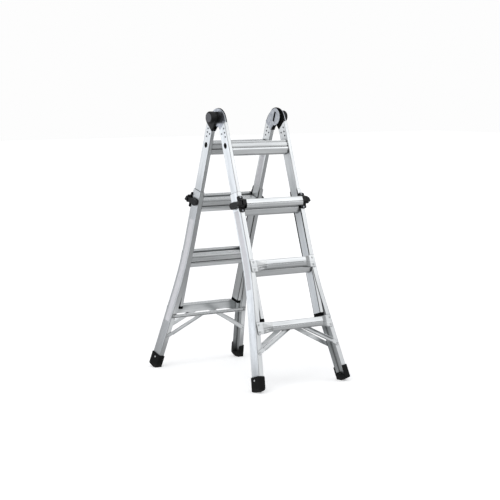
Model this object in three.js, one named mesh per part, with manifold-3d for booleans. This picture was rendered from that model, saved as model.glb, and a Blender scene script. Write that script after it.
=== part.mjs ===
// Multi-position ladder: two telescoping aluminium frames, joined at the top by a pair of locking hinges and
// standing as an A-frame. Millimetres, +Z up, +X to the right, the front frame towards -Y. The origin is on
// the floor, midway between the four feet.
//
// Each frame is drawn in its own space, hung from the hinge axis: x across the frame, "down" along the rail
// from the axis, and "out" away from the other frame, measured from the middle of the rail's depth (rail
// pieces) or from the axis (hinge pieces). Left and right pieces are mirror images, and the rear frame is the
// front one turned round.

import * as THREE from "three";
import { mergeVertices } from "three/addons/utils/BufferGeometryUtils.js";
import Module from "manifold-3d";

const wasm = await Module();
wasm.setup();

// Stance
const leanDegrees = 17.4;
const axisToRail = 36.5;
const bottomRungToFloor = 300.6;

// Clearances: a fixed seat, a turning or sliding fit, and the overrun of a cutting shape
const seatGap = 0.3;
const runningGap = 0.5;
const overrun = 5;

// Facets on a rounded corner, on a curve, round a turned piece and round a thin pin
const cornerFacets = 3;
const curveFacets = 6;
const turnedFacets = 24;
const pinFacets = 12;

// Rungs, spaced one foot apart up both sections
const rungPitch = 304.8;
const rungsPerSection = 3;
const topRungDown = 171;

// Inner section: two box-section rails with three hollow rungs between them
const innerWidth = 391.4;
const innerRailThickness = 20.6;
const innerRailDepth = 55;
const innerRailWall = 2;
const innerRailCorner = 3;
const innerRailTail = 250;
const innerRungHeight = 64;
const innerRungSetback = 3.5;
const innerRungWall = 2.2;
const innerRungTopGrooves = 4;

// Outer section: channel rails that wrap the inner ones, straight at the top and splayed below
const slideClearance = 0.6;
const webClearance = 2;
const outerRailWall = 2.5;
const outerRailCorner = 3;
const flangeOverlap = 0.7;
const outerBaseWidth = 562;
const flareBelowLock = 343.2;
const flareBendRadius = 2100;
const outerTopAbovePin = 64;
const railEndAboveFloor = 30;

// Outer rungs: hollow treads in front of the rails, the lower two with crushed and riveted ends
const outerRungHeight = 44;
const outerRungDepth = 30;
const outerRungWall = 2;
const outerRungTopGrooves = 3;
const tabHeight = 58;
const tabThickness = 4.8;
const tabLength = 34;
const crushLength = 42;
const rungEndInset = 3;

// Lock pin and the slotted holes that take it
const pinAboveRung = 16;
const pinRadius = 5;
const pinHoleWidth = 16;
const pinHoleHeight = 23;
const webHoleRadius = 7;
const pinShortfall = 0.5;

// Rung grooves, as on all the extruded treads
const grooveWidth = 3;
const grooveDepth = 0.9;

// End cap of the inner rail
const capFlange = 8;
const capPlug = 22;

// Rear cross bar and the knee braces
const barHeight = 18;
const barAboveMiddle = 4;
const sheetThickness = 2.2;
const backLip = 2.8;
const frontLip = 10;
const barEndInset = 4;
const braceWidth = 20;
const braceTopSpread = 62;
const braceDrop = 93;
const braceFlatEnd = 30;

// Feet: rubber boots round the slanted rail ends, open towards the middle, with a flat heel and a curled toe
const bootWall = 4.7;
const bootCorner = 7;
const bootInnerLip = 3;
const bootHeight = 47;
const toeRise = 22;
const toeRun = 49;
const toeRound = 12;
const railEndSlantDegrees = 30;

// Lock housing: a block over the end of the top outer rung, with lugs on the flange and ears for the lever
const topTabInset = 1.2;
const housingWidth = 33;
const lugAbovePin = 42.5;
const lugBelowPin = 36;
const lugThickness = 4.5;
const lugRound = 6;
const blockWidth = 30.5;
const blockDepth = 30;
const blockAbovePin = 31;
const noseAbovePin = 19;
const noseBelowPin = 5;
const chinDepth = 5;
const blockBelowPin = 18;
const blockRound = 3;
const forkAbovePin = 15.4;
const forkBelowPin = 9.4;
const earThickness = 5.5;
const earRound = 6;

// Lock lever: a knuckle on trunnions beside the block with a pointed grip, and an arm that runs back along
// the web with the pin
const pivotProud = 7.8;
const pivotPastFlange = 19.1;
const knuckleRadius = 10.4;
const trunnionRadius = 3;
const trunnionShort = 0.6;
const armStandOff = 4.8;
const armThickness = 11.5;
const gripReach = 17.5;
const gripBelowPin = 3;
const gripWidth = 14;
const gripRound = 3;
const tailPastFlange = 4.4;
const armCrestOut = 12;
const armRound = 4;
const armCrestAbovePin = 20;
const armTipAbovePin = 13;
const armChinBelowPin = 13;

// Hinge halves: plates that fill the slanted end of each inner rail and overlap round the axis
const railCutOuterDown = 43;
const railCutInnerDown = 75;
const railCutSeat = 0.5;
const hingeRadius = 44;
const hingeBackDegrees = 264.6;
const tongueLength = 124;
const tongueChamfer = 14;
const tongueNeck = 8;
const plateThickness = 3.5;
const rearFillerThickness = 2.5;
const frontFillerThickness = 5.5;
const fillerProud = 1.6;
const frontPlateThickness = 4;
const linkBand = 10;
const linkInset = 3;
const bossRadius = 11;
const coverThickness = 10;
const coverRadius = 30;
const hubRadius = 25.8;
const hubWall = 4.6;
const hubLength = 14;

// Lock bar, its spindle and the push knob
const spindleRadius = 7;
const lockBarLength = 50;
const lockBarWidth = 12;
const knobRadius = 30.5;
const knobLength = 27;
const knobWall = 4;
const knobFaceRound = 7;
const knobTravel = 12;
const knobBossLength = 14;

// Sizes that follow from those above
const lean = THREE.MathUtils.degToRad(leanDegrees);
const lockDown = topRungDown - pinAboveRung + rungPitch;
const bottomRungDown = lockDown + (rungsPerSection - 1) * rungPitch;
const axisToFloor = bottomRungDown + bottomRungToFloor;
const hingeHeight = axisToFloor * Math.cos(lean) - axisToRail * Math.sin(lean);
const innerHalfWidth = innerWidth / 2;
const innerFace = innerHalfWidth - innerRailThickness;
const innerRungDepth = innerRailDepth - 2 * innerRungSetback;
const innerRailBottom = topRungDown + (rungsPerSection - 1) * rungPitch + innerRailTail;
const outerHalfWidth = innerHalfWidth + webClearance + outerRailWall;
const outerRailDepth = innerRailDepth + 2 * (slideClearance + outerRailWall);
const flangeWidth = innerRailThickness + webClearance + outerRailWall + flangeOverlap;
const outerRailTop = lockDown - outerTopAbovePin;
const flangeFace = outerRailDepth / 2 + seatGap;
const pivotOut = flangeFace + pivotPastFlange;
const armTailOut = -outerRailDepth / 2 - tailPastFlange;
const flareApexDown = lockDown + flareBelowLock;
const flareAngle = Math.atan((outerBaseWidth / 2 - outerHalfWidth) / (axisToFloor - flareApexDown));
const flareBendStart = flareApexDown - flareBendRadius * Math.tan(flareAngle / 2);
const flareBendEnd = flareBendStart + flareBendRadius * Math.sin(flareAngle);
const barTopDown = bottomRungDown - barAboveMiddle;
const braceEndDown = bottomRungDown + outerRungHeight / 2 + braceDrop;

// Hood of a hinge half: its corner and shoulder as shares of the rail end's, and its reach as a share of the
// radius
const frontHoodShares = { corner: 1, shoulderOut: 1, shoulderDown: 0.5, reach: 0.82 };
const rearHoodShares = { corner: 0.84, shoulderOut: 0.8, shoulderDown: 0.55, reach: 0.52 };
const coverHoodShares = { corner: 1, shoulderOut: 0.93, shoulderDown: 0.8, reach: 0.6 };

// Tail of the lock lever: how far out its crest, palm and chin lie, as shares of the tail's
const armTailShares = { crest: 0.5, palm: 0.9, chin: 0.45 };

// Finishes
const finishes = {
  aluminium: { color: 0xc8cbd2, roughness: 0.38, metalness: 0.9 },
  rungAluminium: { color: 0xd2d4d8, roughness: 0.34, metalness: 0.9 },
  steel: { color: 0xb4b8be, roughness: 0.3, metalness: 1 },
  darkSteel: { color: 0x2b2c2e, roughness: 0.4, metalness: 0.9 },
  blackPlastic: { color: 0x17191a, roughness: 0.5, metalness: 0 },
  rubber: { color: 0x1b1b1c, roughness: 0.85, metalness: 0 },
};

/** Manifold solid of a closed geometry. */
function solid(geometry) {
  const bare = geometry.clone();
  bare.deleteAttribute("normal");
  bare.deleteAttribute("uv");
  const merged = mergeVertices(bare);
  const triVerts = Uint32Array.from(merged.index.array);
  return new wasm.Manifold(
    new wasm.Mesh({ numProp: 3, vertProperties: merged.attributes.position.array, triVerts }),
  );
}

/** Buffer geometry of a manifold solid. */
function geometryOf(shape) {
  const { vertProperties, triVerts } = shape.getMesh();
  const geometry = new THREE.BufferGeometry();
  geometry.setAttribute("position", new THREE.BufferAttribute(vertProperties, 3));
  geometry.setIndex(new THREE.BufferAttribute(triVerts, 1));
  geometry.computeVertexNormals();
  return geometry;
}

/** The same solid turned over left to right. */
function mirrored(shape) {
  return shape.mirror([1, 0, 0]);
}

/** Points of a closed outline whose corners, [a, b, radius], are rounded where they give a radius. */
function rounded(corners) {
  return corners.flatMap(([a, b, radius], i) => {
    if (!radius) return [[a, b]];
    const corner = new THREE.Vector2(a, b);
    const [beforeA, beforeB] = corners.at(i - 1);
    const [afterA, afterB] = corners[(i + 1) % corners.length];
    const toBefore = new THREE.Vector2(beforeA, beforeB).sub(corner).normalize();
    const toAfter = new THREE.Vector2(afterA, afterB).sub(corner).normalize();
    const halfAngle = Math.acos(toBefore.dot(toAfter)) / 2;
    const middle = toBefore.clone().add(toAfter).normalize();
    const centre = middle.multiplyScalar(radius / Math.sin(halfAngle)).add(corner);
    const first = toBefore.multiplyScalar(radius / Math.tan(halfAngle)).add(corner).sub(centre);
    const last = toAfter.multiplyScalar(radius / Math.tan(halfAngle)).add(corner).sub(centre);
    const turn = Math.atan2(first.cross(last), first.dot(last));
    return Array.from({ length: cornerFacets + 1 }, (_, k) => {
      const point = first.clone().rotateAround(new THREE.Vector2(), (turn * k) / cornerFacets).add(centre);
      return point.toArray();
    });
  });
}

/** Points of a circle. */
function circle(a, b, radius, facets = turnedFacets) {
  return Array.from({ length: facets }, (_, k) => {
    const angle = (2 * Math.PI * k) / facets;
    return [a + radius * Math.cos(angle), b + radius * Math.sin(angle)];
  });
}

/** Four corners of a rectangle, all rounded alike. */
function rectangle(lowA, lowB, highA, highB, radius = 0) {
  return rounded([
    [lowA, lowB, radius],
    [highA, lowB, radius],
    [highA, highB, radius],
    [lowA, highB, radius],
  ]);
}

/** Points of an outline in anticlockwise order. */
function anticlockwise(outline) {
  const points = outline.map(([a, b]) => new THREE.Vector2(a, b));
  return THREE.ShapeUtils.isClockWise(points) ? points.reverse() : points;
}

/** Prism of an outline, with holes through it, before it is placed. */
function prism(outline, length, holes) {
  const shape = new THREE.Shape(anticlockwise(outline));
  shape.holes = holes.map((hole) => new THREE.Path(anticlockwise(hole)));
  return new THREE.ExtrudeGeometry(shape, { depth: length, bevelEnabled: false, curveSegments: 1 });
}

/** Prism of an [x, out] outline that runs down the rail. */
function prismDown(outline, top, bottom, holes = []) {
  const flip = ([x, out]) => [x, -out];
  const geometry = prism(outline.map(flip), bottom - top, holes.map((hole) => hole.map(flip)));
  return solid(geometry.translate(0, 0, -bottom));
}

/** Prism of an [out, down] outline that runs across the frame. */
function prismAcross(outline, from, to, holes = []) {
  const flip = ([out, down]) => [-out, -down];
  const geometry = prism(outline.map(flip), to - from, holes.map((hole) => hole.map(flip)));
  const turn = new THREE.Matrix4().makeBasis(
    new THREE.Vector3(0, 1, 0),
    new THREE.Vector3(0, 0, 1),
    new THREE.Vector3(1, 0, 0),
  );
  return solid(geometry.applyMatrix4(turn).translate(from, 0, 0));
}

/** Prism of an [x, down] outline that runs outwards from the frame. */
function prismOut(outline, from, to, holes = []) {
  const flip = ([x, down]) => [x, -down];
  const geometry = prism(outline.map(flip), to - from, holes.map((hole) => hole.map(flip)));
  const turn = new THREE.Matrix4().makeBasis(
    new THREE.Vector3(1, 0, 0),
    new THREE.Vector3(0, 0, 1),
    new THREE.Vector3(0, -1, 0),
  );
  return solid(geometry.applyMatrix4(turn).translate(0, -from, 0));
}

/** Solid turned about the hinge axis from a closed [x, radius] profile. */
function turnedAcross(profile) {
  const lathe = new THREE.LatheGeometry(
    profile.map(([x, radius]) => new THREE.Vector2(radius, x)),
    turnedFacets,
  );
  return outward(solid(lathe.rotateZ(-Math.PI / 2)));
}

/** The solid with its faces turned outwards. */
function outward(shape) {
  return shape.volume() < 0 ? solid(flipped(geometryOf(shape))) : shape;
}

/** Geometry with every triangle wound the other way. */
function flipped(geometry) {
  const index = Uint32Array.from(geometry.index.array);
  for (let i = 0; i < index.length; i += 3) {
    [index[i], index[i + 1]] = [index[i + 1], index[i]];
  }
  geometry.setIndex(new THREE.BufferAttribute(index, 1));
  return geometry;
}

/**
 * Solid skinned through rings of points. The last ring joins the first, or the ends take the cap triangles.
 */
function loft(rings, caps) {
  const count = rings[0].length;
  const index = [];
  const spans = caps ? rings.length - 1 : rings.length;
  for (let ring = 0; ring < spans; ring++) {
    const here = ring * count;
    const there = ((ring + 1) % rings.length) * count;
    for (let i = 0; i < count; i++) {
      const j = (i + 1) % count;
      index.push(here + i, here + j, there + j, here + i, there + j, there + i);
    }
  }
  const last = (rings.length - 1) * count;
  for (const [a, b, c] of caps ?? []) {
    index.push(b, a, c, last + a, last + b, last + c);
  }
  const geometry = new THREE.BufferGeometry().setFromPoints(rings.flat());
  geometry.setIndex(index);
  const volume = signedVolume(geometry);
  return solid(volume < 0 ? flipped(geometry) : geometry);
}

/** Volume inside a closed geometry, negative where its faces point inwards. */
function signedVolume(geometry) {
  const corner = [new THREE.Vector3(), new THREE.Vector3(), new THREE.Vector3()];
  let sum = 0;
  for (let i = 0; i < geometry.index.count; i += 3) {
    corner.forEach((point, k) =>
      point.fromBufferAttribute(geometry.attributes.position, geometry.index.getX(i + k)),
    );
    sum += corner[0].dot(corner[1].clone().cross(corner[2]));
  }
  return sum;
}

/** Half the outer width of the outer section at a place down the rail. */
function halfWidthAt(down) {
  if (down <= flareBendStart) return outerHalfWidth;
  if (down < flareBendEnd) {
    const reach = down - flareBendStart;
    return outerHalfWidth + flareBendRadius - Math.sqrt(flareBendRadius ** 2 - reach ** 2);
  }
  return outerHalfWidth + (down - flareApexDown) * Math.tan(flareAngle);
}

/** Slope of the outer rail at a place down it, as an angle. */
function splayAt(down) {
  const reach = THREE.MathUtils.clamp(down - flareBendStart, 0, flareBendRadius * Math.sin(flareAngle));
  return Math.asin(reach / flareBendRadius);
}

/**
 * Places a rail-end shape, drawn with x from the web's outer face and the rail upright, on the splayed rail.
 */
function railStation(down) {
  const splay = splayAt(down);
  return new THREE.Matrix4()
    .makeTranslation(halfWidthAt(down), 0, -down)
    .multiply(new THREE.Matrix4().makeRotationY(-splay));
}

/** Down the slanted end of the inner rail, for a place out from the middle of its depth. */
function railCutDown(out) {
  const share = (innerRailDepth / 2 - out) / innerRailDepth;
  return THREE.MathUtils.lerp(railCutOuterDown, railCutInnerDown, share);
}

/** Inner rail: a box tube, slanted at the top, with a slotted hole in its web beside each rung. */
function innerRail() {
  const outer = rectangle(
    innerFace,
    -innerRailDepth / 2,
    innerHalfWidth,
    innerRailDepth / 2,
    innerRailCorner,
  );
  const bore = rectangle(
    innerFace + innerRailWall,
    innerRailWall - innerRailDepth / 2,
    innerHalfWidth - innerRailWall,
    innerRailDepth / 2 - innerRailWall,
  );
  const aboveCut = [
    [innerRailDepth / 2 + overrun, railCutDown(innerRailDepth / 2 + overrun)],
    [innerRailDepth / 2 + overrun, -overrun],
    [-innerRailDepth / 2 - overrun, -overrun],
    [-innerRailDepth / 2 - overrun, railCutDown(-innerRailDepth / 2 - overrun)],
  ];
  let rail = prismDown(outer, 0, innerRailBottom, [bore]).subtract(
    prismAcross(aboveCut, innerFace - overrun, innerHalfWidth + overrun),
  );
  for (let rung = 0; rung < rungsPerSection; rung++) {
    const down = topRungDown - pinAboveRung + rung * rungPitch;
    const slot = rectangle(
      -pinHoleWidth / 2,
      down - pinHoleHeight / 2,
      pinHoleWidth / 2,
      down + pinHoleHeight / 2,
      pinHoleWidth / 2 - runningGap,
    );
    rail = rail.subtract(
      prismAcross(slot, innerHalfWidth - innerRailWall - runningGap, innerHalfWidth + overrun),
    );
  }
  return rail;
}

/** Cap that plugs the foot of the inner rail. */
function innerRailCap() {
  const flange = rectangle(
    innerFace,
    -innerRailDepth / 2,
    innerHalfWidth,
    innerRailDepth / 2,
    innerRailCorner,
  );
  const inset = innerRailWall + seatGap;
  const plug = rectangle(
    innerFace + inset,
    inset - innerRailDepth / 2,
    innerHalfWidth - inset,
    innerRailDepth / 2 - inset,
    innerRailWall,
  );
  const flangeTop = innerRailBottom + seatGap;
  return prismDown(flange, flangeTop, flangeTop + capFlange).add(
    prismDown(plug, innerRailBottom - capPlug, flangeTop + capFlange / 2),
  );
}

/** Outline of grooves sunk in a flat edge, from one place to another, as [along, height] points. */
function groovedEdge(from, to, height, grooves) {
  const step = (to - from) / (grooves + 1);
  const side = (Math.sign(to - from) * grooveWidth) / 2;
  return Array.from({ length: grooves }, (_, k) => from + step * (k + 1)).flatMap((middle) => [
    [middle - side, height],
    [middle - side / 2, height - grooveDepth],
    [middle + side / 2, height - grooveDepth],
    [middle + side, height],
  ]);
}

// One face of the inner rung, from its top edge down, as shares of half the depth and of the height
const innerRungFaceShares = [
  [0.8, 0.5],
  [0.86, 0.42],
  [0.81, 0.41],
  [0.83, 0.35],
  [0.89, 0.34],
  [0.97, 0.11],
  [0.95, 0.1],
  [0.84, -0.03],
  [1, -0.05],
  [1, -0.17],
  [0.6, -0.5],
];

// Hollow of the inner rung on the same shares
const innerRungHollowShares = [
  [0.8, 0.5],
  [0.87, 0.1],
  [0.87, -0.17],
  [0.6, -0.5],
];

/** Inner rung: a hollow tread of the same shape front and back, so that either side can be climbed. */
function innerRung(down) {
  const half = innerRungDepth / 2;
  const face = innerRungFaceShares.map(([a, b]) => [a * half, down - b * innerRungHeight]);
  const back = face.map(([a, b]) => [-a, b]).reverse();
  const topOut = innerRungFaceShares[0][0] * half;
  const top = groovedEdge(-topOut, topOut, innerRungHeight / 2, innerRungTopGrooves).map(([a, b]) => [
    a,
    down - b,
  ]);
  const hollowHeight = innerRungHeight - 2 * innerRungWall;
  const hollowHalf = half - innerRungWall;
  const hollowFace = innerRungHollowShares.map(([a, b]) => [a * hollowHalf, down - b * hollowHeight]);
  const hollow = [...hollowFace, ...hollowFace.map(([a, b]) => [-a, b]).reverse()];
  const end = innerFace - seatGap;
  return prismAcross([...face, ...back, ...top], -end, end, [hollow]);
}

/** Outer rail: a channel swept down the straight and splayed path, with a hole for the lock pin. */
function outerRail() {
  const depth = outerRailDepth / 2;
  const section = rounded([
    [0, -depth, outerRailCorner],
    [0, depth, outerRailCorner],
    [-flangeWidth, depth],
    [-flangeWidth, depth - outerRailWall],
    [-outerRailWall, depth - outerRailWall],
    [-outerRailWall, outerRailWall - depth],
    [-flangeWidth, outerRailWall - depth],
    [-flangeWidth, -depth],
  ]);
  const bend = Array.from({ length: curveFacets + 1 }, (_, k) =>
    THREE.MathUtils.lerp(flareBendStart, flareBendEnd, k / curveFacets),
  );
  const rings = [outerRailTop, ...bend, axisToFloor].map((down) =>
    section.map(([x, out]) => new THREE.Vector3(x, -out, 0).applyMatrix4(railStation(down))),
  );
  const caps = THREE.ShapeUtils.triangulateShape(
    section.map(([x, out]) => new THREE.Vector2(x, out)),
    [],
  );
  const hole = prismAcross(circle(0, lockDown, webHoleRadius), innerHalfWidth, outerHalfWidth + overrun);
  const end = belowRailEnd(0).transform(railStation(axisToFloor - railEndAboveFloor).toArray());
  return loft(rings, caps).subtract(hole).subtract(end);
}

// Front of the outer rung from its top edge down, as shares of the depth and of the height
const outerRungFaceShares = [
  [0.84, 0.5],
  [0.93, 0.43],
  [1, -0.02],
  [0.92, -0.06],
  [0.92, -0.16],
  [0.97, -0.18],
  [0.8, -0.44],
  [0.7, -0.5],
];

/** Section of the outer rung, flattened by the given scales, as [out, up] points. */
function outerRungSection(depth, height, wall) {
  const shares = [
    [0, -0.5],
    [0, 0.5],
    ...groovedEdge(
      0,
      outerRungFaceShares[0][0] * outerRungDepth,
      outerRungHeight / 2,
      outerRungTopGrooves,
    ).map(
      ([a, b]) => [a / outerRungDepth, b / outerRungHeight],
    ),
    ...outerRungFaceShares,
  ];
  return shares.map(([a, b]) => [wall + a * (depth - 2 * wall), b * (height - 2 * wall)]);
}

/** Skins a hollow tread through stations of half length, depth and height, given from its end inwards. */
function outerRungThrough(down, stations) {
  const both = [...stations.map(([x, ...size]) => [-x, ...size]), ...stations.toReversed()];
  const ringsWith = (wall) =>
    both.map(([x, depth, height]) =>
      outerRungSection(depth, height, wall).map(
        ([out, up]) => new THREE.Vector3(x, -flangeFace - out, up - down),
      ),
    );
  return loft([...ringsWith(0), ...ringsWith(outerRungWall).reverse()]);
}

/** Lower outer rung: a hollow tread whose ends are crushed to flat tabs on the rails' front flanges. */
function crushedRung(down) {
  const end = halfWidthAt(down - tabHeight / 2) - rungEndInset;
  return outerRungThrough(down, [
    [end, tabThickness, tabHeight],
    [end - tabLength, tabThickness, tabHeight],
    [end - tabLength - crushLength, outerRungDepth, outerRungHeight],
  ]);
}

/**
 * Top outer rung: a hollow tread cut back at the ends to leave its rear wall as tabs under the lock housings.
 */
function notchedRung(down) {
  const end = outerHalfWidth - topTabInset;
  const shoulder = innerFace - seatGap;
  const tread = outerRungThrough(down, [[end, outerRungDepth, outerRungHeight]]);
  const notch = prismAcross(
    rectangle(
      flangeFace + outerRungWall,
      down - outerRungHeight,
      flangeFace + outerRungDepth + overrun,
      down + outerRungHeight,
    ),
    shoulder,
    end + overrun,
  );
  return tread.subtract(notch).subtract(mirrored(notch));
}

/** Cross bar on the back of the frame, a shallow channel between the rails' rear flanges. */
function crossBar() {
  const face = -flangeFace;
  const back = face - sheetThickness;
  const lip = back - backLip;
  const bottom = barTopDown + barHeight;
  const section = [
    [face, barTopDown],
    [lip, barTopDown],
    [lip, barTopDown + sheetThickness],
    [back, barTopDown + sheetThickness],
    [back, bottom - sheetThickness],
    [lip, bottom - sheetThickness],
    [lip, bottom],
    [face, bottom],
  ];
  const end = halfWidthAt(barTopDown) - barEndInset;
  return prismAcross(section, -end, end);
}

/** Knee brace: a folded strap from under the bottom rung or bar to the flange, with a flat round end. */
function kneeBrace(topDown, onFront) {
  const start = new THREE.Vector2(braceTopSpread, topDown);
  const end = new THREE.Vector2(halfWidthAt(braceEndDown) - flangeWidth / 2, braceEndDown);
  const along = end.clone().sub(start).normalize();
  const aside = new THREE.Vector2(along.y, -along.x);
  const edgeAt = (side, reach) =>
    end.clone().addScaledVector(aside, side).addScaledVector(along, -reach).toArray();
  const topEdge = (side) => {
    const slip = (end.y + aside.y * side - topDown) / along.y;
    return edgeAt(side, slip);
  };
  const half = braceWidth / 2;
  const startAngle = Math.atan2(aside.y, aside.x);
  const nose = Array.from({ length: curveFacets + 1 }, (_, k) => {
    const angle = startAngle + (Math.PI * k) / curveFacets;
    return [end.x + half * Math.cos(angle), end.y + half * Math.sin(angle)];
  });
  const strap = [topEdge(half), ...nose, topEdge(-half)];
  const lips = [1, -1].map((side) => [
    topEdge(side * half),
    edgeAt(side * half, braceFlatEnd),
    edgeAt(side * (half - sheetThickness), braceFlatEnd + sheetThickness),
    topEdge(side * (half - sheetThickness)),
  ]);
  const lipDepth = onFront ? frontLip : backLip;
  const place = (outline, from, to) =>
    onFront ? prismOut(outline, from, to) : prismOut(outline, -to, -from);
  const brace = place(strap, flangeFace, flangeFace + sheetThickness);
  return lips.reduce(
    (shape, lip) =>
      shape.add(place(lip, flangeFace + sheetThickness / 2, flangeFace + sheetThickness + lipDepth)),
    brace,
  );
}

/** Room below the slanted end of the outer rail, drawn upright and raised by the given gap. */
function belowRailEnd(gap) {
  const half = outerRailDepth;
  const rise = half * Math.tan(THREE.MathUtils.degToRad(railEndSlantDegrees));
  const outline = [
    [-half, -rise - gap],
    [half, rise - gap],
    [half, railEndAboveFloor + outerRailDepth],
    [-half, railEndAboveFloor + outerRailDepth],
  ];
  return prismAcross(outline, -flangeWidth - overrun, bootWall + overrun);
}

/** Foot: a boot round the splayed rail end, with a slanted bed for it, a flat heel and a curled toe. */
function foot() {
  const depth = outerRailDepth / 2 + seatGap + bootWall;
  const soleDown = (out) => railEndAboveFloor + out * Math.tan(lean);
  const toeDown = soleDown(depth) - toeRise;
  const heel = depth - toeRun;
  const sink = (soleDown(heel) - toeDown) / toeRun;
  const side = rounded([
    [-depth, -bootHeight, bootWall],
    [depth, -bootHeight, bootWall],
    [depth, toeDown, toeRound],
    [-depth, toeDown + 2 * depth * sink],
  ]);
  const inner = -flangeWidth - bootInnerLip;
  const outside = bootWall + seatGap;
  const plan = rounded([
    [inner, -depth],
    [outside, -depth, bootCorner],
    [outside, depth, bootCorner],
    [inner, depth],
  ]);
  const pocket = rectangle(
    inner - overrun,
    -outerRailDepth / 2 - seatGap,
    seatGap,
    outerRailDepth / 2 + seatGap,
    outerRailCorner,
  );
  const bed = belowRailEnd(-seatGap);
  const upright = prismAcross(side, inner, outside)
    .intersect(prismDown(plan, -bootHeight - overrun, soleDown(depth)))
    .subtract(prismDown(pocket, -bootHeight - overrun, railEndAboveFloor).subtract(bed));
  const placed = upright.transform(railStation(axisToFloor - railEndAboveFloor).toArray());
  const room = axisToFloor;
  const floor = new THREE.BoxGeometry(room, room, room).translate(0, 0, -room / 2);
  const toFrame = new THREE.Matrix4()
    .makeTranslation(0, axisToRail, 0)
    .multiply(new THREE.Matrix4().makeRotationX(lean))
    .multiply(new THREE.Matrix4().makeTranslation(0, 0, -hingeHeight));
  return placed.subtract(solid(floor.applyMatrix4(toFrame)));
}

/** Lock housing: a block over the rung's end with lugs on the flange, forked on the outside for the lever. */
function lockHousing() {
  const inside = innerFace + seatGap;
  const outside = inside + housingWidth;
  const blockEnd = inside + blockWidth;
  const plate = rounded([
    [inside, lockDown - lugAbovePin, lugRound],
    [outside, lockDown - lugAbovePin, lugRound],
    [outside, lockDown + lugBelowPin, lugRound],
    [inside, lockDown + lugBelowPin, lugRound],
  ]);
  const nose = flangeFace + blockDepth;
  const block = rounded([
    [flangeFace, lockDown - blockAbovePin],
    [nose, lockDown - noseAbovePin, blockRound],
    [nose, lockDown + noseBelowPin, blockRound],
    [flangeFace + chinDepth, lockDown + blockBelowPin],
    [flangeFace, lockDown + blockBelowPin],
  ]);
  const pivotX = outerHalfWidth + pivotProud;
  const ear = rectangle(
    blockEnd - blockWidth / 2,
    pivotOut - earRound - seatGap,
    pivotX + earRound + seatGap,
    pivotOut + earRound + seatGap,
    earRound,
  );
  const fork = rectangle(
    flangeFace - overrun,
    lockDown - forkAbovePin,
    nose + overrun,
    lockDown + forkBelowPin,
  );
  const tabRoom = rectangle(
    flangeFace - overrun,
    lockDown - outerRungHeight / 2 - seatGap,
    flangeFace + outerRungWall + seatGap,
    lockDown + outerRungHeight / 2 + seatGap,
  );
  const trunnionHole = circle(pivotX, pivotOut, trunnionRadius + seatGap, pinFacets);
  return prismOut(plate, flangeFace, flangeFace + lugThickness)
    .add(prismAcross(block, inside, blockEnd))
    .add(prismDown(ear, lockDown - forkAbovePin - earThickness, lockDown + forkBelowPin + earThickness))
    .subtract(prismAcross(fork, pivotX - knuckleRadius - runningGap, outside + knuckleRadius + overrun))
    .subtract(prismAcross(tabRoom, inside - overrun, outerHalfWidth - topTabInset + seatGap))
    .subtract(prismDown(trunnionHole, lockDown - blockAbovePin, lockDown + blockBelowPin));
}

/** Lock lever: a round knuckle on trunnions and a shaped arm along the web that carries the pin. */
function lockLever() {
  const pivotX = outerHalfWidth + pivotProud;
  const armInside = outerHalfWidth + armStandOff;
  const armOutside = armInside + armThickness;
  const knuckleTop = lockDown - forkAbovePin + runningGap;
  const knuckleBottom = lockDown + forkBelowPin - runningGap;
  const plan = rounded([
    [armInside, pivotOut],
    [armInside, armTailOut, armRound / 2],
    [armOutside - armRound, armTailOut, armRound / 2],
    [armOutside, armTailOut + armRound * 2, armRound],
    [armOutside, pivotOut],
  ]);
  const side = rounded([
    [pivotOut, knuckleTop],
    [outerRailDepth / 2, knuckleTop],
    [armCrestOut, lockDown - armCrestAbovePin, armRound],
    [armTailOut * armTailShares.crest, lockDown - armCrestAbovePin, armRound],
    [armTailOut, lockDown - armTipAbovePin, armRound],
    [armTailOut * armTailShares.palm, lockDown, armRound],
    [armTailOut * armTailShares.chin, lockDown + armChinBelowPin, armRound],
    [armCrestOut, knuckleBottom - runningGap],
    [pivotOut, knuckleBottom],
  ]);
  const grip = rounded([
    [pivotX, knuckleTop],
    [pivotX + knuckleRadius, knuckleTop],
    [pivotX + gripReach, lockDown + gripBelowPin, gripRound],
    [pivotX + knuckleRadius, knuckleBottom],
    [pivotX, knuckleBottom],
  ]);
  const arm = prismDown(plan, lockDown - armCrestAbovePin - overrun, lockDown + armChinBelowPin + overrun);
  const pin = prismAcross(
    circle(0, lockDown, pinRadius, pinFacets),
    innerHalfWidth + pinShortfall,
    armInside + armThickness / 2,
  );
  return arm
    .intersect(prismAcross(side, innerHalfWidth, armOutside + overrun))
    .add(prismDown(circle(pivotX, pivotOut, knuckleRadius), knuckleTop, knuckleBottom))
    .add(prismOut(grip, pivotOut - gripWidth / 2, pivotOut + gripWidth / 2))
    .add(
      prismDown(
        circle(pivotX, pivotOut, trunnionRadius, pinFacets),
        lockDown - forkAbovePin - earThickness + trunnionShort,
        lockDown + forkBelowPin + earThickness - trunnionShort,
      ),
    )
    .add(pin);
}

/** Lower edge of a hinge half, along the slanted rail end, from its tip to its outer corner. */
function hingeFoot() {
  const tip = axisToRail - innerRailDepth / 2;
  const corner = axisToRail + innerRailDepth / 2;
  return { tip, corner, tipDown: railCutInnerDown - railCutSeat, cornerDown: railCutOuterDown - railCutSeat };
}

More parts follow.
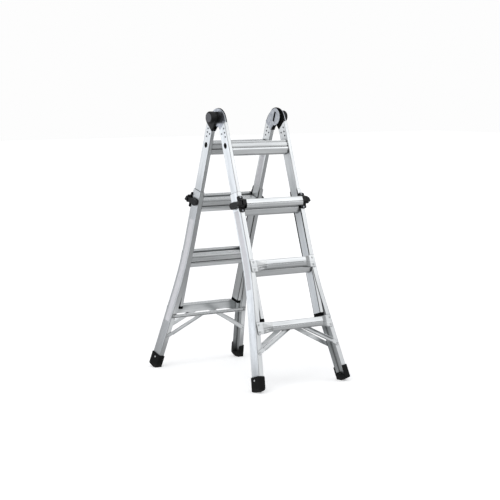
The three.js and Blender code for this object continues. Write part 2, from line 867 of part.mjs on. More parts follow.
/**
 * Outline of a hinge half round the axis: a disc, a neck down to the rail end and a hood over the outside.
 */
function hingeOutline(radius, hood) {
  const { tip, corner, tipDown, cornerDown } = hingeFoot();
  const shoulder = [corner * hood.shoulderOut, cornerDown * hood.shoulderDown];
  const reach = radius * hood.reach;
  const path = new THREE.Path();
  path.moveTo(tip, tipDown);
  path.lineTo(
    THREE.MathUtils.lerp(tip, corner, hood.corner),
    THREE.MathUtils.lerp(tipDown, cornerDown, hood.corner),
  );
  path.lineTo(...shoulder);
  path.bezierCurveTo(shoulder[0], shoulder[1] - reach, reach, -radius, 0, -radius);
  path.absarc(0, 0, radius, -Math.PI / 2, -THREE.MathUtils.degToRad(hingeBackDegrees), true);
  path.quadraticCurveTo(tip / 2, (radius + tipDown) / 2, tip, tipDown);
  const points = path.getPoints(curveFacets).map((point) => point.toArray());
  points.pop();
  return points.filter(
    ([a, b], i) => i === 0 || Math.hypot(a - points[i - 1][0], b - points[i - 1][1]) > seatGap,
  );
}

/** Tongue of a hinge half, inside the box of the inner rail, in hinge coordinates. */
function hingeTongue() {
  const half = innerRailDepth / 2 - innerRailWall - seatGap;
  const at = (out, down) => [axisToRail + out, down];
  const outline = [
    at(half, railCutDown(half)),
    at(half, tongueLength - tongueChamfer),
    at(half - tongueChamfer, tongueLength),
    at(tongueChamfer - half, tongueLength),
    at(-half, tongueLength - tongueChamfer),
    at(-half, railCutDown(-half)),
  ];
  const inset = innerRailWall + seatGap;
  return prismAcross(outline, innerFace + inset, innerHalfWidth - inset);
}

/** Strip that runs across the slanted rail end and just into the box, joining a hinge half to its tongue. */
function hingeNeck(above, from, to) {
  const half = innerRailDepth / 2 - innerRailWall - linkInset;
  const at = (out, down) => [axisToRail + out, down];
  const strip = (below) => [
    at(half, railCutDown(half) - above),
    at(half, railCutDown(half) + below),
    at(-half, railCutDown(-half) + below),
    at(-half, railCutDown(-half) - above),
  ];
  const inset = innerRailWall + seatGap;
  return prismAcross(strip(-railCutSeat), from, to).add(
    prismAcross(strip(linkInset), Math.max(from, innerFace + inset), Math.min(to, innerHalfWidth - inset)),
  );
}

/** Diametral slot for the lock bar, turned about the axis from the rail's line. */
function barSlot(angle, from, to) {
  const long = lockBarLength / 2 + seatGap;
  const wide = lockBarWidth / 2 + seatGap;
  const turn = (points) =>
    points.map(([a, b]) => [
      a * Math.cos(angle) - b * Math.sin(angle),
      a * Math.sin(angle) + b * Math.cos(angle),
    ]);
  return prismAcross(turn(rectangle(-wide, -long, wide, long)), from, to);
}

// Layers of the hinge from the inside of the ladder outwards
const rearPlateFrom = innerFace - plateThickness - seatGap;
const rearFillerFrom = rearPlateFrom + plateThickness + seatGap;
const frontFillerFrom = rearFillerFrom + rearFillerThickness + runningGap;
const frontPlateFrom = frontFillerFrom + frontFillerThickness + seatGap;
const coverFrom = frontPlateFrom + frontPlateThickness + runningGap;
const coverTo = coverFrom + coverThickness;
const hubTo = coverTo + hubLength;
const knobFrom = coverTo + knobTravel + runningGap;
const knobTo = knobFrom + knobLength;

/** Front half of the hinge: a steel plate with its tongue in the front rail. */
function frontHingePlate() {
  const to = frontPlateFrom + frontPlateThickness;
  return prismAcross(hingeOutline(hingeRadius, frontHoodShares), frontPlateFrom, to)
    .add(hingeNeck(tongueNeck, frontPlateFrom, to))
    .add(hingeTongue())
    .subtract(prismAcross(circle(0, 0, bossRadius + seatGap), frontPlateFrom - overrun, to + overrun))
    .subtract(barSlot(0, frontPlateFrom - overrun, to + overrun))
    .subtract(barSlot(2 * lean, frontPlateFrom - overrun, to + overrun));
}

/** Plastic layer on the inner side of the front plate. */
function frontHingeFiller() {
  const to = frontFillerFrom + frontFillerThickness;
  return prismAcross(hingeOutline(hingeRadius + fillerProud, frontHoodShares), frontFillerFrom, to)
    .subtract(prismAcross(circle(0, 0, bossRadius + seatGap), frontFillerFrom - overrun, to + overrun))
    .subtract(barSlot(0, frontFillerFrom - overrun, to + overrun))
    .subtract(barSlot(2 * lean, frontFillerFrom - overrun, to + overrun));
}

/** Link between the rear plate and its tongue, above the slanted rail end. */
function rearHingeLink() {
  return hingeNeck(linkBand, rearPlateFrom + plateThickness / 2, coverFrom - runningGap);
}

/** Rear half of the hinge: the inner steel plate with the axle tube, and its tongue in the rear rail. */
function rearHingePlate() {
  const outline = hingeOutline(hingeRadius, rearHoodShares);
  const to = rearPlateFrom + plateThickness;
  return prismAcross(outline, rearPlateFrom, to)
    .add(prismAcross(circle(0, 0, bossRadius), to - seatGap, coverTo - seatGap))
    .add(rearHingeLink())
    .add(hingeTongue())
    .subtract(prismAcross(circle(0, 0, spindleRadius + seatGap), rearPlateFrom - overrun, coverTo + overrun))
    .subtract(barSlot(0, rearPlateFrom - overrun, rearFillerFrom + rearFillerThickness + seatGap));
}

/** Plastic layer behind the rear plate, showing as a dark edge round it. */
function rearHingeFiller() {
  const to = rearFillerFrom + rearFillerThickness;
  const linkRoom = hingeNeck(linkBand + seatGap, rearFillerFrom - overrun, to + overrun);
  return prismAcross(hingeOutline(hingeRadius + fillerProud, coverHoodShares), rearFillerFrom, to)
    .subtract(linkRoom.add(linkRoom.translate([0, seatGap, 0])).add(linkRoom.translate([0, -seatGap, 0])))
    .subtract(prismAcross(circle(0, 0, bossRadius + seatGap), rearFillerFrom - overrun, to + overrun))
    .subtract(barSlot(0, rearFillerFrom - overrun, to + overrun));
}

/** Outer cover of the rear half: a moulded neck down to the rail end, with a hub that guides the knob. */
function rearHingeCover() {
  const shell = prismAcross(hingeOutline(coverRadius, coverHoodShares), coverFrom, coverTo);
  const bore = circle(0, 0, hubRadius - hubWall);
  const hub = prismAcross(circle(0, 0, hubRadius), coverTo - overrun, hubTo, [bore]);
  return shell
    .add(hub)
    .subtract(prismAcross(circle(0, 0, bossRadius + seatGap), coverFrom - overrun, coverTo + overrun));
}

/** Lock bar across the hinge and the spindle that carries it from the knob. */
function lockBar() {
  const barTo = rearFillerFrom + rearFillerThickness;
  const long = lockBarLength / 2;
  const wide = lockBarWidth / 2;
  const spindleTo = knobTo - knobWall - seatGap;
  return prismAcross(rectangle(-wide, -long, wide, long), rearPlateFrom + seatGap, barTo).add(
    prismAcross(circle(0, 0, spindleRadius), barTo - rearFillerThickness / 2, spindleTo),
  );
}

/** Push knob: a cup with a rounded face, an open skirt and a socket for the spindle. */
function hingeKnob() {
  const faceInside = knobTo - knobWall;
  const rounding = Array.from({ length: cornerFacets + 1 }, (_, k) => {
    const angle = (Math.PI / 2) * (k / cornerFacets);
    return [
      knobTo - knobFaceRound + knobFaceRound * Math.sin(angle),
      knobRadius - knobFaceRound + knobFaceRound * Math.cos(angle),
    ];
  });
  const socket = spindleRadius + seatGap;
  return turnedAcross([
    [knobTo, 0],
    ...rounding.reverse(),
    [knobFrom, knobRadius],
    [knobFrom, knobRadius - knobWall],
    [faceInside, knobRadius - knobWall],
    [faceInside, bossRadius],
    [faceInside - knobBossLength, bossRadius],
    [faceInside - knobBossLength, socket],
    [faceInside, socket],
    [faceInside, 0],
  ]);
}

/** Named mesh of a solid. */
function piece(name, shape, finish) {
  const mesh = new THREE.Mesh(geometryOf(shape), new THREE.MeshStandardMaterial(finish));
  mesh.name = name;
  return mesh;
}

/** A right-hand solid and its mirror image, named for the sides they come to once the frame is placed. */
function pair(frame, name, shape, finish) {
  const sides = frame === "front" ? ["right", "left"] : ["left", "right"];
  return [
    piece(`${frame}_${sides[0]}_${name}`, shape, finish),
    piece(`${frame}_${sides[1]}_${name}`, mirrored(shape), finish),
  ];
}

/** One telescoping frame without its hinge halves, drawn round the middle of the rails' depth. */
function buildRails(frame) {
  const rails = new THREE.Group();
  rails.position.y = -axisToRail;
  rails.add(...pair(frame, "inner_rail", innerRail(), finishes.aluminium));
  rails.add(...pair(frame, "inner_rail_cap", innerRailCap(), finishes.blackPlastic));
  rails.add(...pair(frame, "outer_rail", outerRail(), finishes.aluminium));
  for (let rung = 0; rung < rungsPerSection; rung++) {
    const step = rungsPerSection - rung;
    const inner = innerRung(topRungDown + rung * rungPitch);
    const down = lockDown + rung * rungPitch;
    const outer = rung > 0 ? crushedRung(down) : notchedRung(down);
    rails.add(piece(`${frame}_inner_rung_${step}`, inner, finishes.rungAluminium));
    rails.add(piece(`${frame}_outer_rung_${step}`, outer, finishes.rungAluminium));
  }
  const underRung = bottomRungDown + outerRungHeight / 2 + seatGap;
  const underBar = barTopDown + barHeight + seatGap;
  rails.add(piece(`${frame}_cross_bar`, crossBar(), finishes.aluminium));
  rails.add(...pair(frame, "outside_brace", kneeBrace(underRung, true), finishes.aluminium));
  rails.add(...pair(frame, "inside_brace", kneeBrace(underBar, false), finishes.aluminium));
  rails.add(...pair(frame, "foot", foot(), finishes.rubber));
  rails.add(...pair(frame, "lock_housing", lockHousing(), finishes.blackPlastic));
  rails.add(...pair(frame, "lock_lever", lockLever(), finishes.blackPlastic));
  return rails;
}

/** A frame hung from the hinge axis at its lean, with its hinge halves. */
function buildFrame(frame, hingePieces) {
  const leaning = new THREE.Group();
  leaning.rotation.x = -lean;
  leaning.add(buildRails(frame));
  for (const [name, shape, finish] of hingePieces) {
    leaning.add(...pair(frame, name, shape, finish));
  }
  const placed = new THREE.Group();
  placed.position.z = hingeHeight;
  placed.rotation.z = frame === "front" ? 0 : Math.PI;
  placed.add(leaning);
  return placed;
}

const ladder = new THREE.Group();
ladder.add(
  buildFrame("front", [
    ["hinge_plate", frontHingePlate(), finishes.steel],
    ["hinge_filler", frontHingeFiller(), finishes.blackPlastic],
  ]),
  buildFrame("rear", [
    ["hinge_plate", rearHingePlate(), finishes.steel],
    ["hinge_filler", rearHingeFiller(), finishes.steel],
    ["hinge_cover", rearHingeCover(), finishes.blackPlastic],
    ["lock_bar", lockBar(), finishes.darkSteel],
    ["hinge_knob", hingeKnob(), finishes.blackPlastic],
  ]),
);

export default ladder;
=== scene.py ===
"""A multi position ladder: its finishes, fasteners, label films, studio and camera.

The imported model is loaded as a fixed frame. Every length below is in millimetres
until `mm` turns it to metres. A place on the ladder is given as across (world X),
out (square to the rails, away from the fold) and down (along the rails from the
hinge axis), as the ladder is measured.
"""

import logging
import math
from collections.abc import Iterator, Sequence
from contextlib import contextmanager
from dataclasses import dataclass, field
from enum import Enum, auto
from typing import ClassVar

import bpy
from mathutils import Matrix, Vector


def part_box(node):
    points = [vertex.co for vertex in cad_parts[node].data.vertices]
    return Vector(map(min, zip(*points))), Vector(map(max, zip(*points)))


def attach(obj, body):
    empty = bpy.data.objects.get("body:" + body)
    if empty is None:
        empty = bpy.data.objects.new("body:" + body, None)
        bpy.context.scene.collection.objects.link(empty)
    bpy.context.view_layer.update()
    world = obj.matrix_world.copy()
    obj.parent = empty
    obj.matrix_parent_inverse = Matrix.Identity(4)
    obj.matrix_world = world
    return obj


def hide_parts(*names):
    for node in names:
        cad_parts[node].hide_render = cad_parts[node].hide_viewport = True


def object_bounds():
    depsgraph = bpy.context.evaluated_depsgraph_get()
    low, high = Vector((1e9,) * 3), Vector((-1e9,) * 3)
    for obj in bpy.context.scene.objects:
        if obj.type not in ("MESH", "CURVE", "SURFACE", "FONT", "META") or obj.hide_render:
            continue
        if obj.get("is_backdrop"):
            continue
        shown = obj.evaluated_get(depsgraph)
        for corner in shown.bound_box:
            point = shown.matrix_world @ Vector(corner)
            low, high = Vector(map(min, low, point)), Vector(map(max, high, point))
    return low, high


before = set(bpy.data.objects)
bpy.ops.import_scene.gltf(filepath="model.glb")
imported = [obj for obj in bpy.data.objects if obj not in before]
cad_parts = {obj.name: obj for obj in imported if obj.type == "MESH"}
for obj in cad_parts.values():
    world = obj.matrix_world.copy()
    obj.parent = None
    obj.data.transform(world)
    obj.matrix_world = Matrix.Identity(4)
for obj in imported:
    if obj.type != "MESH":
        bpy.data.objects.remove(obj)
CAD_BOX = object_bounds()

log = logging.getLogger("ladder")

Colour = tuple[float, float, float, float]
Profile = tuple[tuple[float, float], ...]
Socket = bpy.types.NodeSocket


def mm(length: float) -> float:
    """Turns millimetres to metres."""
    return length / 1000.0


def linear(code: str) -> Colour:
    """Turns an sRGB hex colour to the linear colour that a shader takes.

    Args:
        code: six hex digits after a hash, as in "#C4C6D6".

    Returns:
        Red, green, blue and a full alpha, each from 0 to 1.
    """
    parts = [int(code[k : k + 2], 16) / 255 for k in (1, 3, 5)]
    red, green, blue = (p / 12.92 if p <= 0.04045 else ((p + 0.055) / 1.055) ** 2.4 for p in parts)
    return (red, green, blue, 1.0)


class Part(Enum):
    """A part of the ladder that the names of its pieces tell."""

    @property
    def label(self) -> str:
        """The word for it in those names."""
        return self.name.lower()


class Half(Part):
    """The two halves of the ladder; the value turns the fold's outward way."""

    FRONT = -1
    REAR = 1


class Side(Part):
    """The two sides of the ladder; the value is the sign of X."""

    LEFT = -1
    RIGHT = 1


@dataclass(frozen=True)
class LeaningPlane:
    """The tilted plane that one half of the ladder lies in."""

    half: Half
    lean_degrees: float = 17.4
    axis_height: float = 1296.394
    axis_to_rail: float = 36.5

    @property
    def lean(self) -> float:
        """The lean from the vertical, in radians."""
        return math.radians(self.lean_degrees)

    @property
    def out(self) -> Vector:
        """The unit vector square to the rails, away from the fold."""
        return Vector((0, self.half.value * math.cos(self.lean), math.sin(self.lean)))

    @property
    def down(self) -> Vector:
        """The unit vector down along the rails."""
        return Vector((0, self.half.value * math.sin(self.lean), -math.cos(self.lean)))

    def point(self, across: float, out: float, down: float) -> Vector:
        """Finds a place, with out counted from the middle of the rails' depth; it returns metres."""
        axis = Vector((mm(across), 0, mm(self.axis_height)))
        return axis + self.out * mm(self.axis_to_rail + out) + self.down * mm(down)


@dataclass(frozen=True)
class Corner:
    """One of the four rails: the half and the side that it is on."""

    plane: LeaningPlane
    side: Side

    @property
    def half(self) -> str:
        """The word for this rail's half."""
        return self.plane.half.label

    @property
    def label(self) -> str:
        """The words that start the names of this rail's pieces."""
        return f"{self.half}_{self.side.label}"

    @property
    def outwards(self) -> Vector:
        """The unit vector away from the other side."""
        return Vector((self.side.value, 0, 0))

    def point(self, across: float, out: float, down: float) -> Vector:
        """Finds a place as the plane does, with across counted outwards from the ladder's middle."""
        return self.plane.point(self.side.value * across, out, down)


FRONT_PLANE = LeaningPlane(Half.FRONT)
REAR_PLANE = LeaningPlane(Half.REAR)
CORNERS = tuple(Corner(plane, side) for plane in (FRONT_PLANE, REAR_PLANE) for side in Side)
FRONT_LEFT, _, REAR_LEFT, REAR_RIGHT = CORNERS


# Modelling


@contextmanager
def editing(piece: bpy.types.Object) -> Iterator[None]:
    """Opens one piece in edit mode with all of its faces selected.

    Args:
        piece: the mesh object to edit.
    """
    bpy.ops.object.select_all(action="DESELECT")
    piece.select_set(True)
    bpy.context.view_layer.objects.active = piece
    bpy.ops.object.mode_set(mode="EDIT")
    bpy.ops.mesh.select_mode(type="FACE")
    bpy.ops.mesh.select_all(action="SELECT")
    try:
        yield
    finally:
        bpy.ops.object.mode_set(mode="OBJECT")


@contextmanager
def raised_disc(name: str, sides: int, radius: float, sharp_degrees: float) -> Iterator[bpy.types.Object]:
    """Starts a piece as a disc, to be shaped with its face selected, and closes its skin at the end.

    Args:
        name: the piece's name.
        sides: how many sides the disc has.
        radius: the disc's radius, in mm.
        sharp_degrees: edges that turn further than this stay sharp.
    """
    bpy.ops.object.select_all(action="DESELECT")
    bpy.ops.mesh.primitive_circle_add(vertices=sides, radius=mm(radius), fill_type="NGON")
    piece = start(name)
    with editing(piece):
        yield piece
    close_skin(piece, sharp_degrees)


def raise_step(height: float, across: float, along: float | None = None) -> None:
    """Extrudes the selected faces along Z and draws them in.

    Args:
        height: how far they move, in mm.
        across: their new size along X as a share of the old one.
        along: the same along Y, if it differs.
    """
    bpy.ops.mesh.extrude_region_move(TRANSFORM_OT_translate={"value": (0, 0, mm(height))})
    along = across if along is None else along
    bpy.ops.transform.resize(value=(across, along, 1), center_override=(0, 0, 0))


def raise_along(profile: Profile, height: float, width: float = 1.0) -> None:
    """Raises the selected face along a profile.

    Args:
        profile: the rise and the width of each step, as shares of the full height and width.
        height: the full height, in mm.
        width: the face's width at the start, as a share of the full width.
    """
    for rise, reach in profile:
        raise_step(height * rise, reach / width)
        width = reach


def start(name: str) -> bpy.types.Object:
    """Names the primitive that was just added and returns it."""
    piece = bpy.context.active_object
    piece.name = name
    piece.data.name = name
    return piece


def square(name: str, size: float = 1.0) -> bpy.types.Object:
    """Starts a piece as a flat square of a size in metres."""
    bpy.ops.object.select_all(action="DESELECT")
    bpy.ops.mesh.primitive_plane_add(size=size)
    return start(name)


def apply_modifiers(piece: bpy.types.Object) -> None:
    """Applies every modifier of a piece in order."""
    bpy.ops.object.select_all(action="DESELECT")
    piece.select_set(True)
    bpy.context.view_layer.objects.active = piece
    for modifier in list(piece.modifiers):
        bpy.ops.object.modifier_apply(modifier=modifier.name)


def close_skin(piece: bpy.types.Object, sharp_degrees: float) -> None:
    """Merges doubles, turns the faces outwards and smooths the shallow edges.

    Args:
        piece: the mesh object.
        sharp_degrees: edges that turn further than this stay sharp.
    """
    with editing(piece):
        bpy.ops.mesh.remove_doubles(threshold=1e-6)
        bpy.ops.mesh.normals_make_consistent(inside=False)
    bpy.ops.object.shade_smooth_by_angle(angle=math.radians(sharp_degrees))


def copies(master: bpy.types.Object, name: str, places: Sequence[Matrix]) -> bpy.types.Object:
    """Sets copies of one shape at several places and joins them as one piece.

    Args:
        master: the shape, modelled round the origin.
        name: the name of the joined piece.
        places: where each copy goes.

    Returns:
        The joined piece, with its place in its mesh.
    """
    made = []
    for place in places:
        copy = master.copy()
        copy.data = master.data.copy()
        copy.data.transform(place)
        bpy.context.scene.collection.objects.link(copy)
        made.append(copy)
    bpy.ops.object.select_all(action="DESELECT")
    for copy in made:
        copy.select_set(True)
    bpy.context.view_layer.objects.active = made[0]
    if len(made) > 1:
        bpy.ops.object.join()
    return start(name)


def discard(piece: bpy.types.Object) -> None:
    """Removes a shape that was only there to be copied or to cut with."""
    bpy.data.objects.remove(piece, do_unlink=True)


def facing_place(point: Vector, first: Vector, facing: Vector) -> Matrix:
    """Makes the placement whose X points one way and whose Z points another."""
    turn = Matrix((first, facing.cross(first), facing)).transposed()
    return Matrix.Translation(point) @ turn.to_4x4()


def seat(node: str, origin: Vector, way: Vector) -> Matrix:
    """Finds where a fastener sits on a solid by looking at it along a line.

    Args:
        node: the solid that carries the fastener.
        origin: a point off the solid, in metres.
        way: the direction in which to look.

    Returns:
        A placement whose Z points out of the surface.
    """
    hit, point, normal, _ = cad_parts[node].ray_cast(origin, way)
    if not hit:
        raise ValueError(f"nothing of {node} lies on the line from {tuple(origin)}")
    turn = normal.to_track_quat("Z", "Y").to_matrix().to_4x4()
    return Matrix.Translation(point) @ turn


# Finishes


def add_node(
    tree: bpy.types.NodeTree,
    kind: str,
    inputs: dict[str | int, object] | None = None,
    **settings: object,
) -> bpy.types.Node:
    """Adds one node, with its settings, values and links.

    Args:
        tree: the node tree.
        kind: the node's type name.
        inputs: a value or the socket to link from, for each input by name or number.
        **settings: the node's own properties.

    Returns:
        The new node.
    """
    node = tree.nodes.new(kind)
    for name, value in settings.items():
        setattr(node, name, value)
    for key, value in (inputs or {}).items():
        if isinstance(value, bpy.types.NodeSocket):
            tree.links.new(value, node.inputs[key])
        else:
            node.inputs[key].default_value = value
    return node


class Patterns:
    """A node tree, with a short call for each kind of pattern."""

    def __init__(self, tree: bpy.types.NodeTree) -> None:
        """Empties the tree."""
        self.tree = tree
        tree.nodes.clear()

    def out(self, kind: str, output: str | int, inputs: dict | None = None, **settings: object) -> Socket:
        """Adds one node and returns one of its outputs."""
        return add_node(self.tree, kind, inputs, **settings).outputs[output]

    def maths(self, operation: str, first: object, second: object = 0.0, clamp: bool = False) -> Socket:
        """Works out one sum on two values."""
        return self.out("ShaderNodeMath", 0, {0: first, 1: second}, operation=operation, use_clamp=clamp)

    def dot(self, first: object, second: object) -> Socket:
        """Finds how far one vector reaches along another."""
        return self.out("ShaderNodeVectorMath", "Value", {0: first, 1: second}, operation="DOT_PRODUCT")

    def spread(
        self, value: Socket, start: float, end: float,
        low: float = 0.0, high: float = 1.0, shape: str = "LINEAR",
    ) -> Socket:
        """Spreads a value from its start and end to a low and a high one."""
        inputs = {"Value": value, "From Min": start, "From Max": end, "To Min": low, "To Max": high}
        return self.out("ShaderNodeMapRange", "Result", inputs, interpolation_type=shape)

    def around(self, value: Socket, middle: float, below: float, above: float) -> Socket:
        """Spreads a pattern of 0 to 1 round a middle value."""
        return self.spread(value, 0.0, 1.0, middle - below, middle + above)

    def noise(self, place: Socket, scale: float, detail: float, roughness: float = 0.5) -> Socket:
        """Adds a noise of 0 to 1."""
        inputs = {"Vector": place, "Scale": scale, "Detail": detail, "Roughness": roughness}
        return self.out("ShaderNodeTexNoise", "Fac", inputs)

    def mapped(self, place: Socket, scale: Sequence[float] = (1, 1, 1), turn_x: float = 0.0) -> Socket:
        """Turns a place about X by an angle in degrees, then scales it."""
        inputs = {"Vector": place, "Scale": tuple(scale), "Rotation": (math.radians(turn_x), 0, 0)}
        return self.out("ShaderNodeMapping", "Vector", inputs)

    def tint(self, share: Socket, plain: str | Socket, toned: str) -> Socket:
        """Mixes a plain colour, or its hex code, with a toned one by the toned one's share."""
        inputs = {0: share, 6: linear(plain) if isinstance(plain, str) else plain, 7: linear(toned)}
        return self.out("ShaderNodeMix", 2, inputs, data_type="RGBA")


class Surface(Patterns):
    """A new material: its shader, and the place on the piece that its patterns follow."""

    def __init__(self, name: str) -> None:
        """Makes the material with a shader on its output."""
        self.material = bpy.data.materials.new(name)
        self.material.use_nodes = True
        super().__init__(self.material.node_tree)
        self.shader = add_node(self.tree, "ShaderNodeBsdfPrincipled")
        add_node(self.tree, "ShaderNodeOutputMaterial", {"Surface": self.shader.outputs["BSDF"]})
        self.place = self.out("ShaderNodeTexCoord", "Object")

    def edges(self, radius: float) -> tuple[Socket, Socket]:
        """Finds the edges of a piece, where hands and feet rub it.

        Args:
            radius: how far the rubbing reaches from an edge, in mm.

        Returns:
            The share of rubbing, and a normal that rounds the edges.
        """
        rounded = self.out("ShaderNodeBevel", "Normal", {"Radius": mm(radius)}, samples=4)
        turn = self.dot(rounded, self.out("ShaderNodeNewGeometry", "Normal"))
        return self.spread(turn, 0.995, 0.80), rounded

    def shut_in(self, reach: float, starts: float, full: float) -> Socket:
        """Finds the painted shade where walls within reach, in mm, leave a small share of the sky open."""
        sky = self.out("ShaderNodeAmbientOcclusion", "AO", {"Distance": mm(reach)}, samples=6)
        return self.spread(sky, starts, full)

    def cover(self, colour: Socket, roughness: Socket) -> None:
        """Puts a colour and a roughness on the shader."""
        self.tree.links.new(colour, self.shader.inputs["Base Color"])
        self.tree.links.new(roughness, self.shader.inputs["Roughness"])

    def roughen(self, height: Socket, depth: float, strength: float, normal: Socket | None = None) -> None:
        """Puts a fine bump on the shader.

        Args:
            height: the pattern of the bump.
            depth: its depth, in mm.
            strength: how much of it shows.
            normal: the normal under it, if it isn't the surface's own.
        """
        inputs = {"Height": height, "Distance": mm(depth), "Strength": strength}
        if normal:
            inputs["Normal"] = normal
        self.tree.links.new(self.out("ShaderNodeBump", "Normal", inputs), self.shader.inputs["Normal"])


@dataclass(frozen=True)
class ExtrudedAluminium:
    """6000 series aluminium as the press left it, degreased and not anodised.

    The eye gets a bright, neutral white metal with long die lines along the length,
    soft grey clouds of oxide and edges burnished by handling. Its hollows and seams
    are darkened with painted shade. Rails have a painted dark reflection along their
    rounded corners, and a painted shadow line where the outer sections' flanges close
    over the inner rails, where the sections slide on each other.
    """

    name: str
    turn_x_degrees: float
    along: Vector
    plain: str = "#EFF1F1"
    clouded: str = "#CDD0D1"
    # A near black for the painted shade of hollows, seams, rounded corners and the gap between the
    # sections.
    dirt: str = "#1F2021"
    hollow_reach: float = 45.0
    seam_reach: float = 10.0
    grime_share: float = 1.0
    corner_share: float = 0.0
    rubbed_plane: LeaningPlane | None = None
    # Where the painted shadow line of the sliding gap lies: the inner rails' inner face, near its front and
    # back edges.
    rubbed_across: float = 176.0
    rubbed_out: float = 22.5
    rubbed_from: float = 380.0
    roughness: float = 0.34
    # Real die lines are 0.1 to 0.5 mm apart; they are drawn 2.5 mm apart so as to show.
    line_spacing: float = 2.5
    line_length: float = 900.0
    line_depth: float = 0.05
    cloud_width: float = 24.0
    cloud_length: float = 260.0

    def build(self) -> bpy.types.Material:
        """Builds the material."""
        surface = Surface(self.name)
        turned = surface.mapped(surface.place, turn_x=self.turn_x_degrees)
        drawn = surface.mapped(turned, self.stretch(self.line_spacing, self.line_length))
        lines = surface.noise(drawn, 1.0, detail=5.0, roughness=0.7)
        patches = surface.mapped(turned, self.stretch(self.cloud_width, self.cloud_length))
        clouds = surface.noise(patches, 1.0, detail=6.0, roughness=0.6)
        oxide = surface.spread(surface.maths("MULTIPLY", lines, clouds), 0.12, 0.42)
        rubbed, rounded = surface.edges(1.0)
        dull = surface.maths("SUBTRACT", oxide, rubbed, clamp=True)
        # Painted shade: hollows and seams that walls close in are darkened towards the near black.
        hollow = surface.shut_in(self.hollow_reach, 0.34, 0.12)
        seam = surface.shut_in(self.seam_reach, 0.90, 0.60)
        painted_shade_share = surface.maths("MULTIPLY", surface.maths("MAXIMUM", hollow, seam), self.grime_share)
        # Painted dark reflection: a darker line along the rails' rounded corners, standing for the dark
        # room they mirror.
        if self.corner_share:
            painted_shade_share = surface.maths("MAXIMUM", painted_shade_share, self.corner_line(surface))
        # Painted shadow: a dark line on the inner rails where the outer rails' flanges close over them.
        if self.rubbed_plane:
            painted_shade_share = surface.maths("MAXIMUM", painted_shade_share, self.rub_marks(surface))
        colour = surface.tint(painted_shade_share, surface.tint(dull, self.plain, self.clouded), self.dirt)
        surface.cover(colour, surface.around(dull, self.roughness, 0.06, 0.08))
        surface.roughen(lines, self.line_depth, 0.35, rounded)
        surface.shader.inputs["Metallic"].default_value = 1.0
        return surface.material

    def stretch(self, width: float, length: float) -> Vector:
        """Finds the scale of a pattern that is drawn out along the length."""
        return (Vector((1, 1, 1)) - self.along) / mm(width) + self.along / mm(length)

    def corner_line(self, surface: Surface) -> Socket:
        """Finds a rail's rounded corners, which face neither across nor out, for a painted dark reflection
        along them.
        """
        facing = surface.out("ShaderNodeTexCoord", "Normal")
        across = surface.out("ShaderNodeSeparateXYZ", "X", {"Vector": facing})
        square = surface.maths("MULTIPLY", across, across)
        both = surface.maths("MULTIPLY", square, surface.maths("SUBTRACT", 1.0, square))
        return surface.spread(both, 0.03, 0.25, high=self.corner_share)

    def rub_marks(self, surface: Surface) -> Socket:
        """Finds the painted shadow line where the outer sections' flanges close over the inner rails, where
        the sections slide on each other.

        Args:
            surface: the material that is being built.

        Returns:
            The share of the painted shadow line.
        """
        plane = self.rubbed_plane
        inputs = {0: surface.place, 1: tuple(plane.point(0, 0, 0))}
        offset = surface.out("ShaderNodeVectorMath", "Vector", inputs, operation="SUBTRACT")
        marks = 1.0
        for way, low, high in (
            (plane.out, self.rubbed_out, self.rubbed_out + 1.5),
            (Vector((1, 0, 0)), self.rubbed_across, self.rubbed_across - 0.4),
            (plane.down, self.rubbed_from, self.rubbed_from + 25),
        ):
            size = surface.maths("ABSOLUTE", surface.dot(offset, tuple(way)))
            marks = surface.maths("MULTIPLY", surface.spread(size, mm(low), mm(high)), marks)
        return marks


@dataclass(frozen=True)
class ZincPlatedSteel:
    """Punched steel plate with a bright zinc coat.

    The eye gets a cooler, darker silver than the aluminium, with a soft mottle from
    the coating bath and fine scratches in every direction.
    """

    name: str = "zinc_plated_steel_punched"
    plain: str = "#C9CCD1"
    mottled: str = "#9EA2A9"
    roughness: float = 0.34
    mottle_size: float = 16.0
    # Real scratches are hairlines; they are drawn 1.2 mm apart so as to show.
    scratch_spacing: float = 1.2
    scratch_length: float = 30.0
    scratch_depth: float = 0.04
    scratch_turn_degrees: float = 35.0

    def build(self) -> bpy.types.Material:
        """Builds the material."""
        surface = Surface(self.name)
        mottle = surface.noise(surface.place, 1 / mm(self.mottle_size), detail=5.0, roughness=0.65)
        clouds = surface.spread(mottle, 0.35, 0.68)
        fine = 1 / mm(self.scratch_spacing)
        scale = (fine, fine, 1 / mm(self.scratch_length))
        drawn = surface.mapped(surface.place, scale, self.scratch_turn_degrees)
        scratches = surface.noise(drawn, 1.0, detail=3.0)
        rubbed, rounded = surface.edges(0.8)
        dull = surface.maths("SUBTRACT", clouds, rubbed, clamp=True)
        colour = surface.tint(dull, self.plain, self.mottled)
        surface.cover(colour, surface.around(scratches, self.roughness, 0.08, 0.12))
        surface.roughen(scratches, self.scratch_depth, 0.3, rounded)
        surface.shader.inputs["Metallic"].default_value = 1.0
        return surface.material


@dataclass(frozen=True)
class BlackOxideSteel:
    """Hardened steel with a black oxide and oil finish.

    The eye gets a dark, near neutral metal whose edges have worn to bare steel.
    """

    name: str = "black_oxide_steel_machined"
    plain: str = "#36373A"
    worn: str = "#94969A"
    roughness: float = 0.38
    patch_size: float = 6.0

    def build(self) -> bpy.types.Material:
        """Builds the material."""
        surface = Surface(self.name)
        patches = surface.noise(surface.place, 1 / mm(self.patch_size), detail=6.0, roughness=0.7)
        rubbed, rounded = surface.edges(1.2)
        colour = surface.tint(surface.maths("MULTIPLY", patches, rubbed), self.plain, self.worn)
        surface.cover(colour, surface.around(patches, self.roughness, 0.1, 0.15))
        surface.roughen(patches, 0.05, 0.4, rounded)
        surface.shader.inputs["Metallic"].default_value = 1.0
        return surface.material


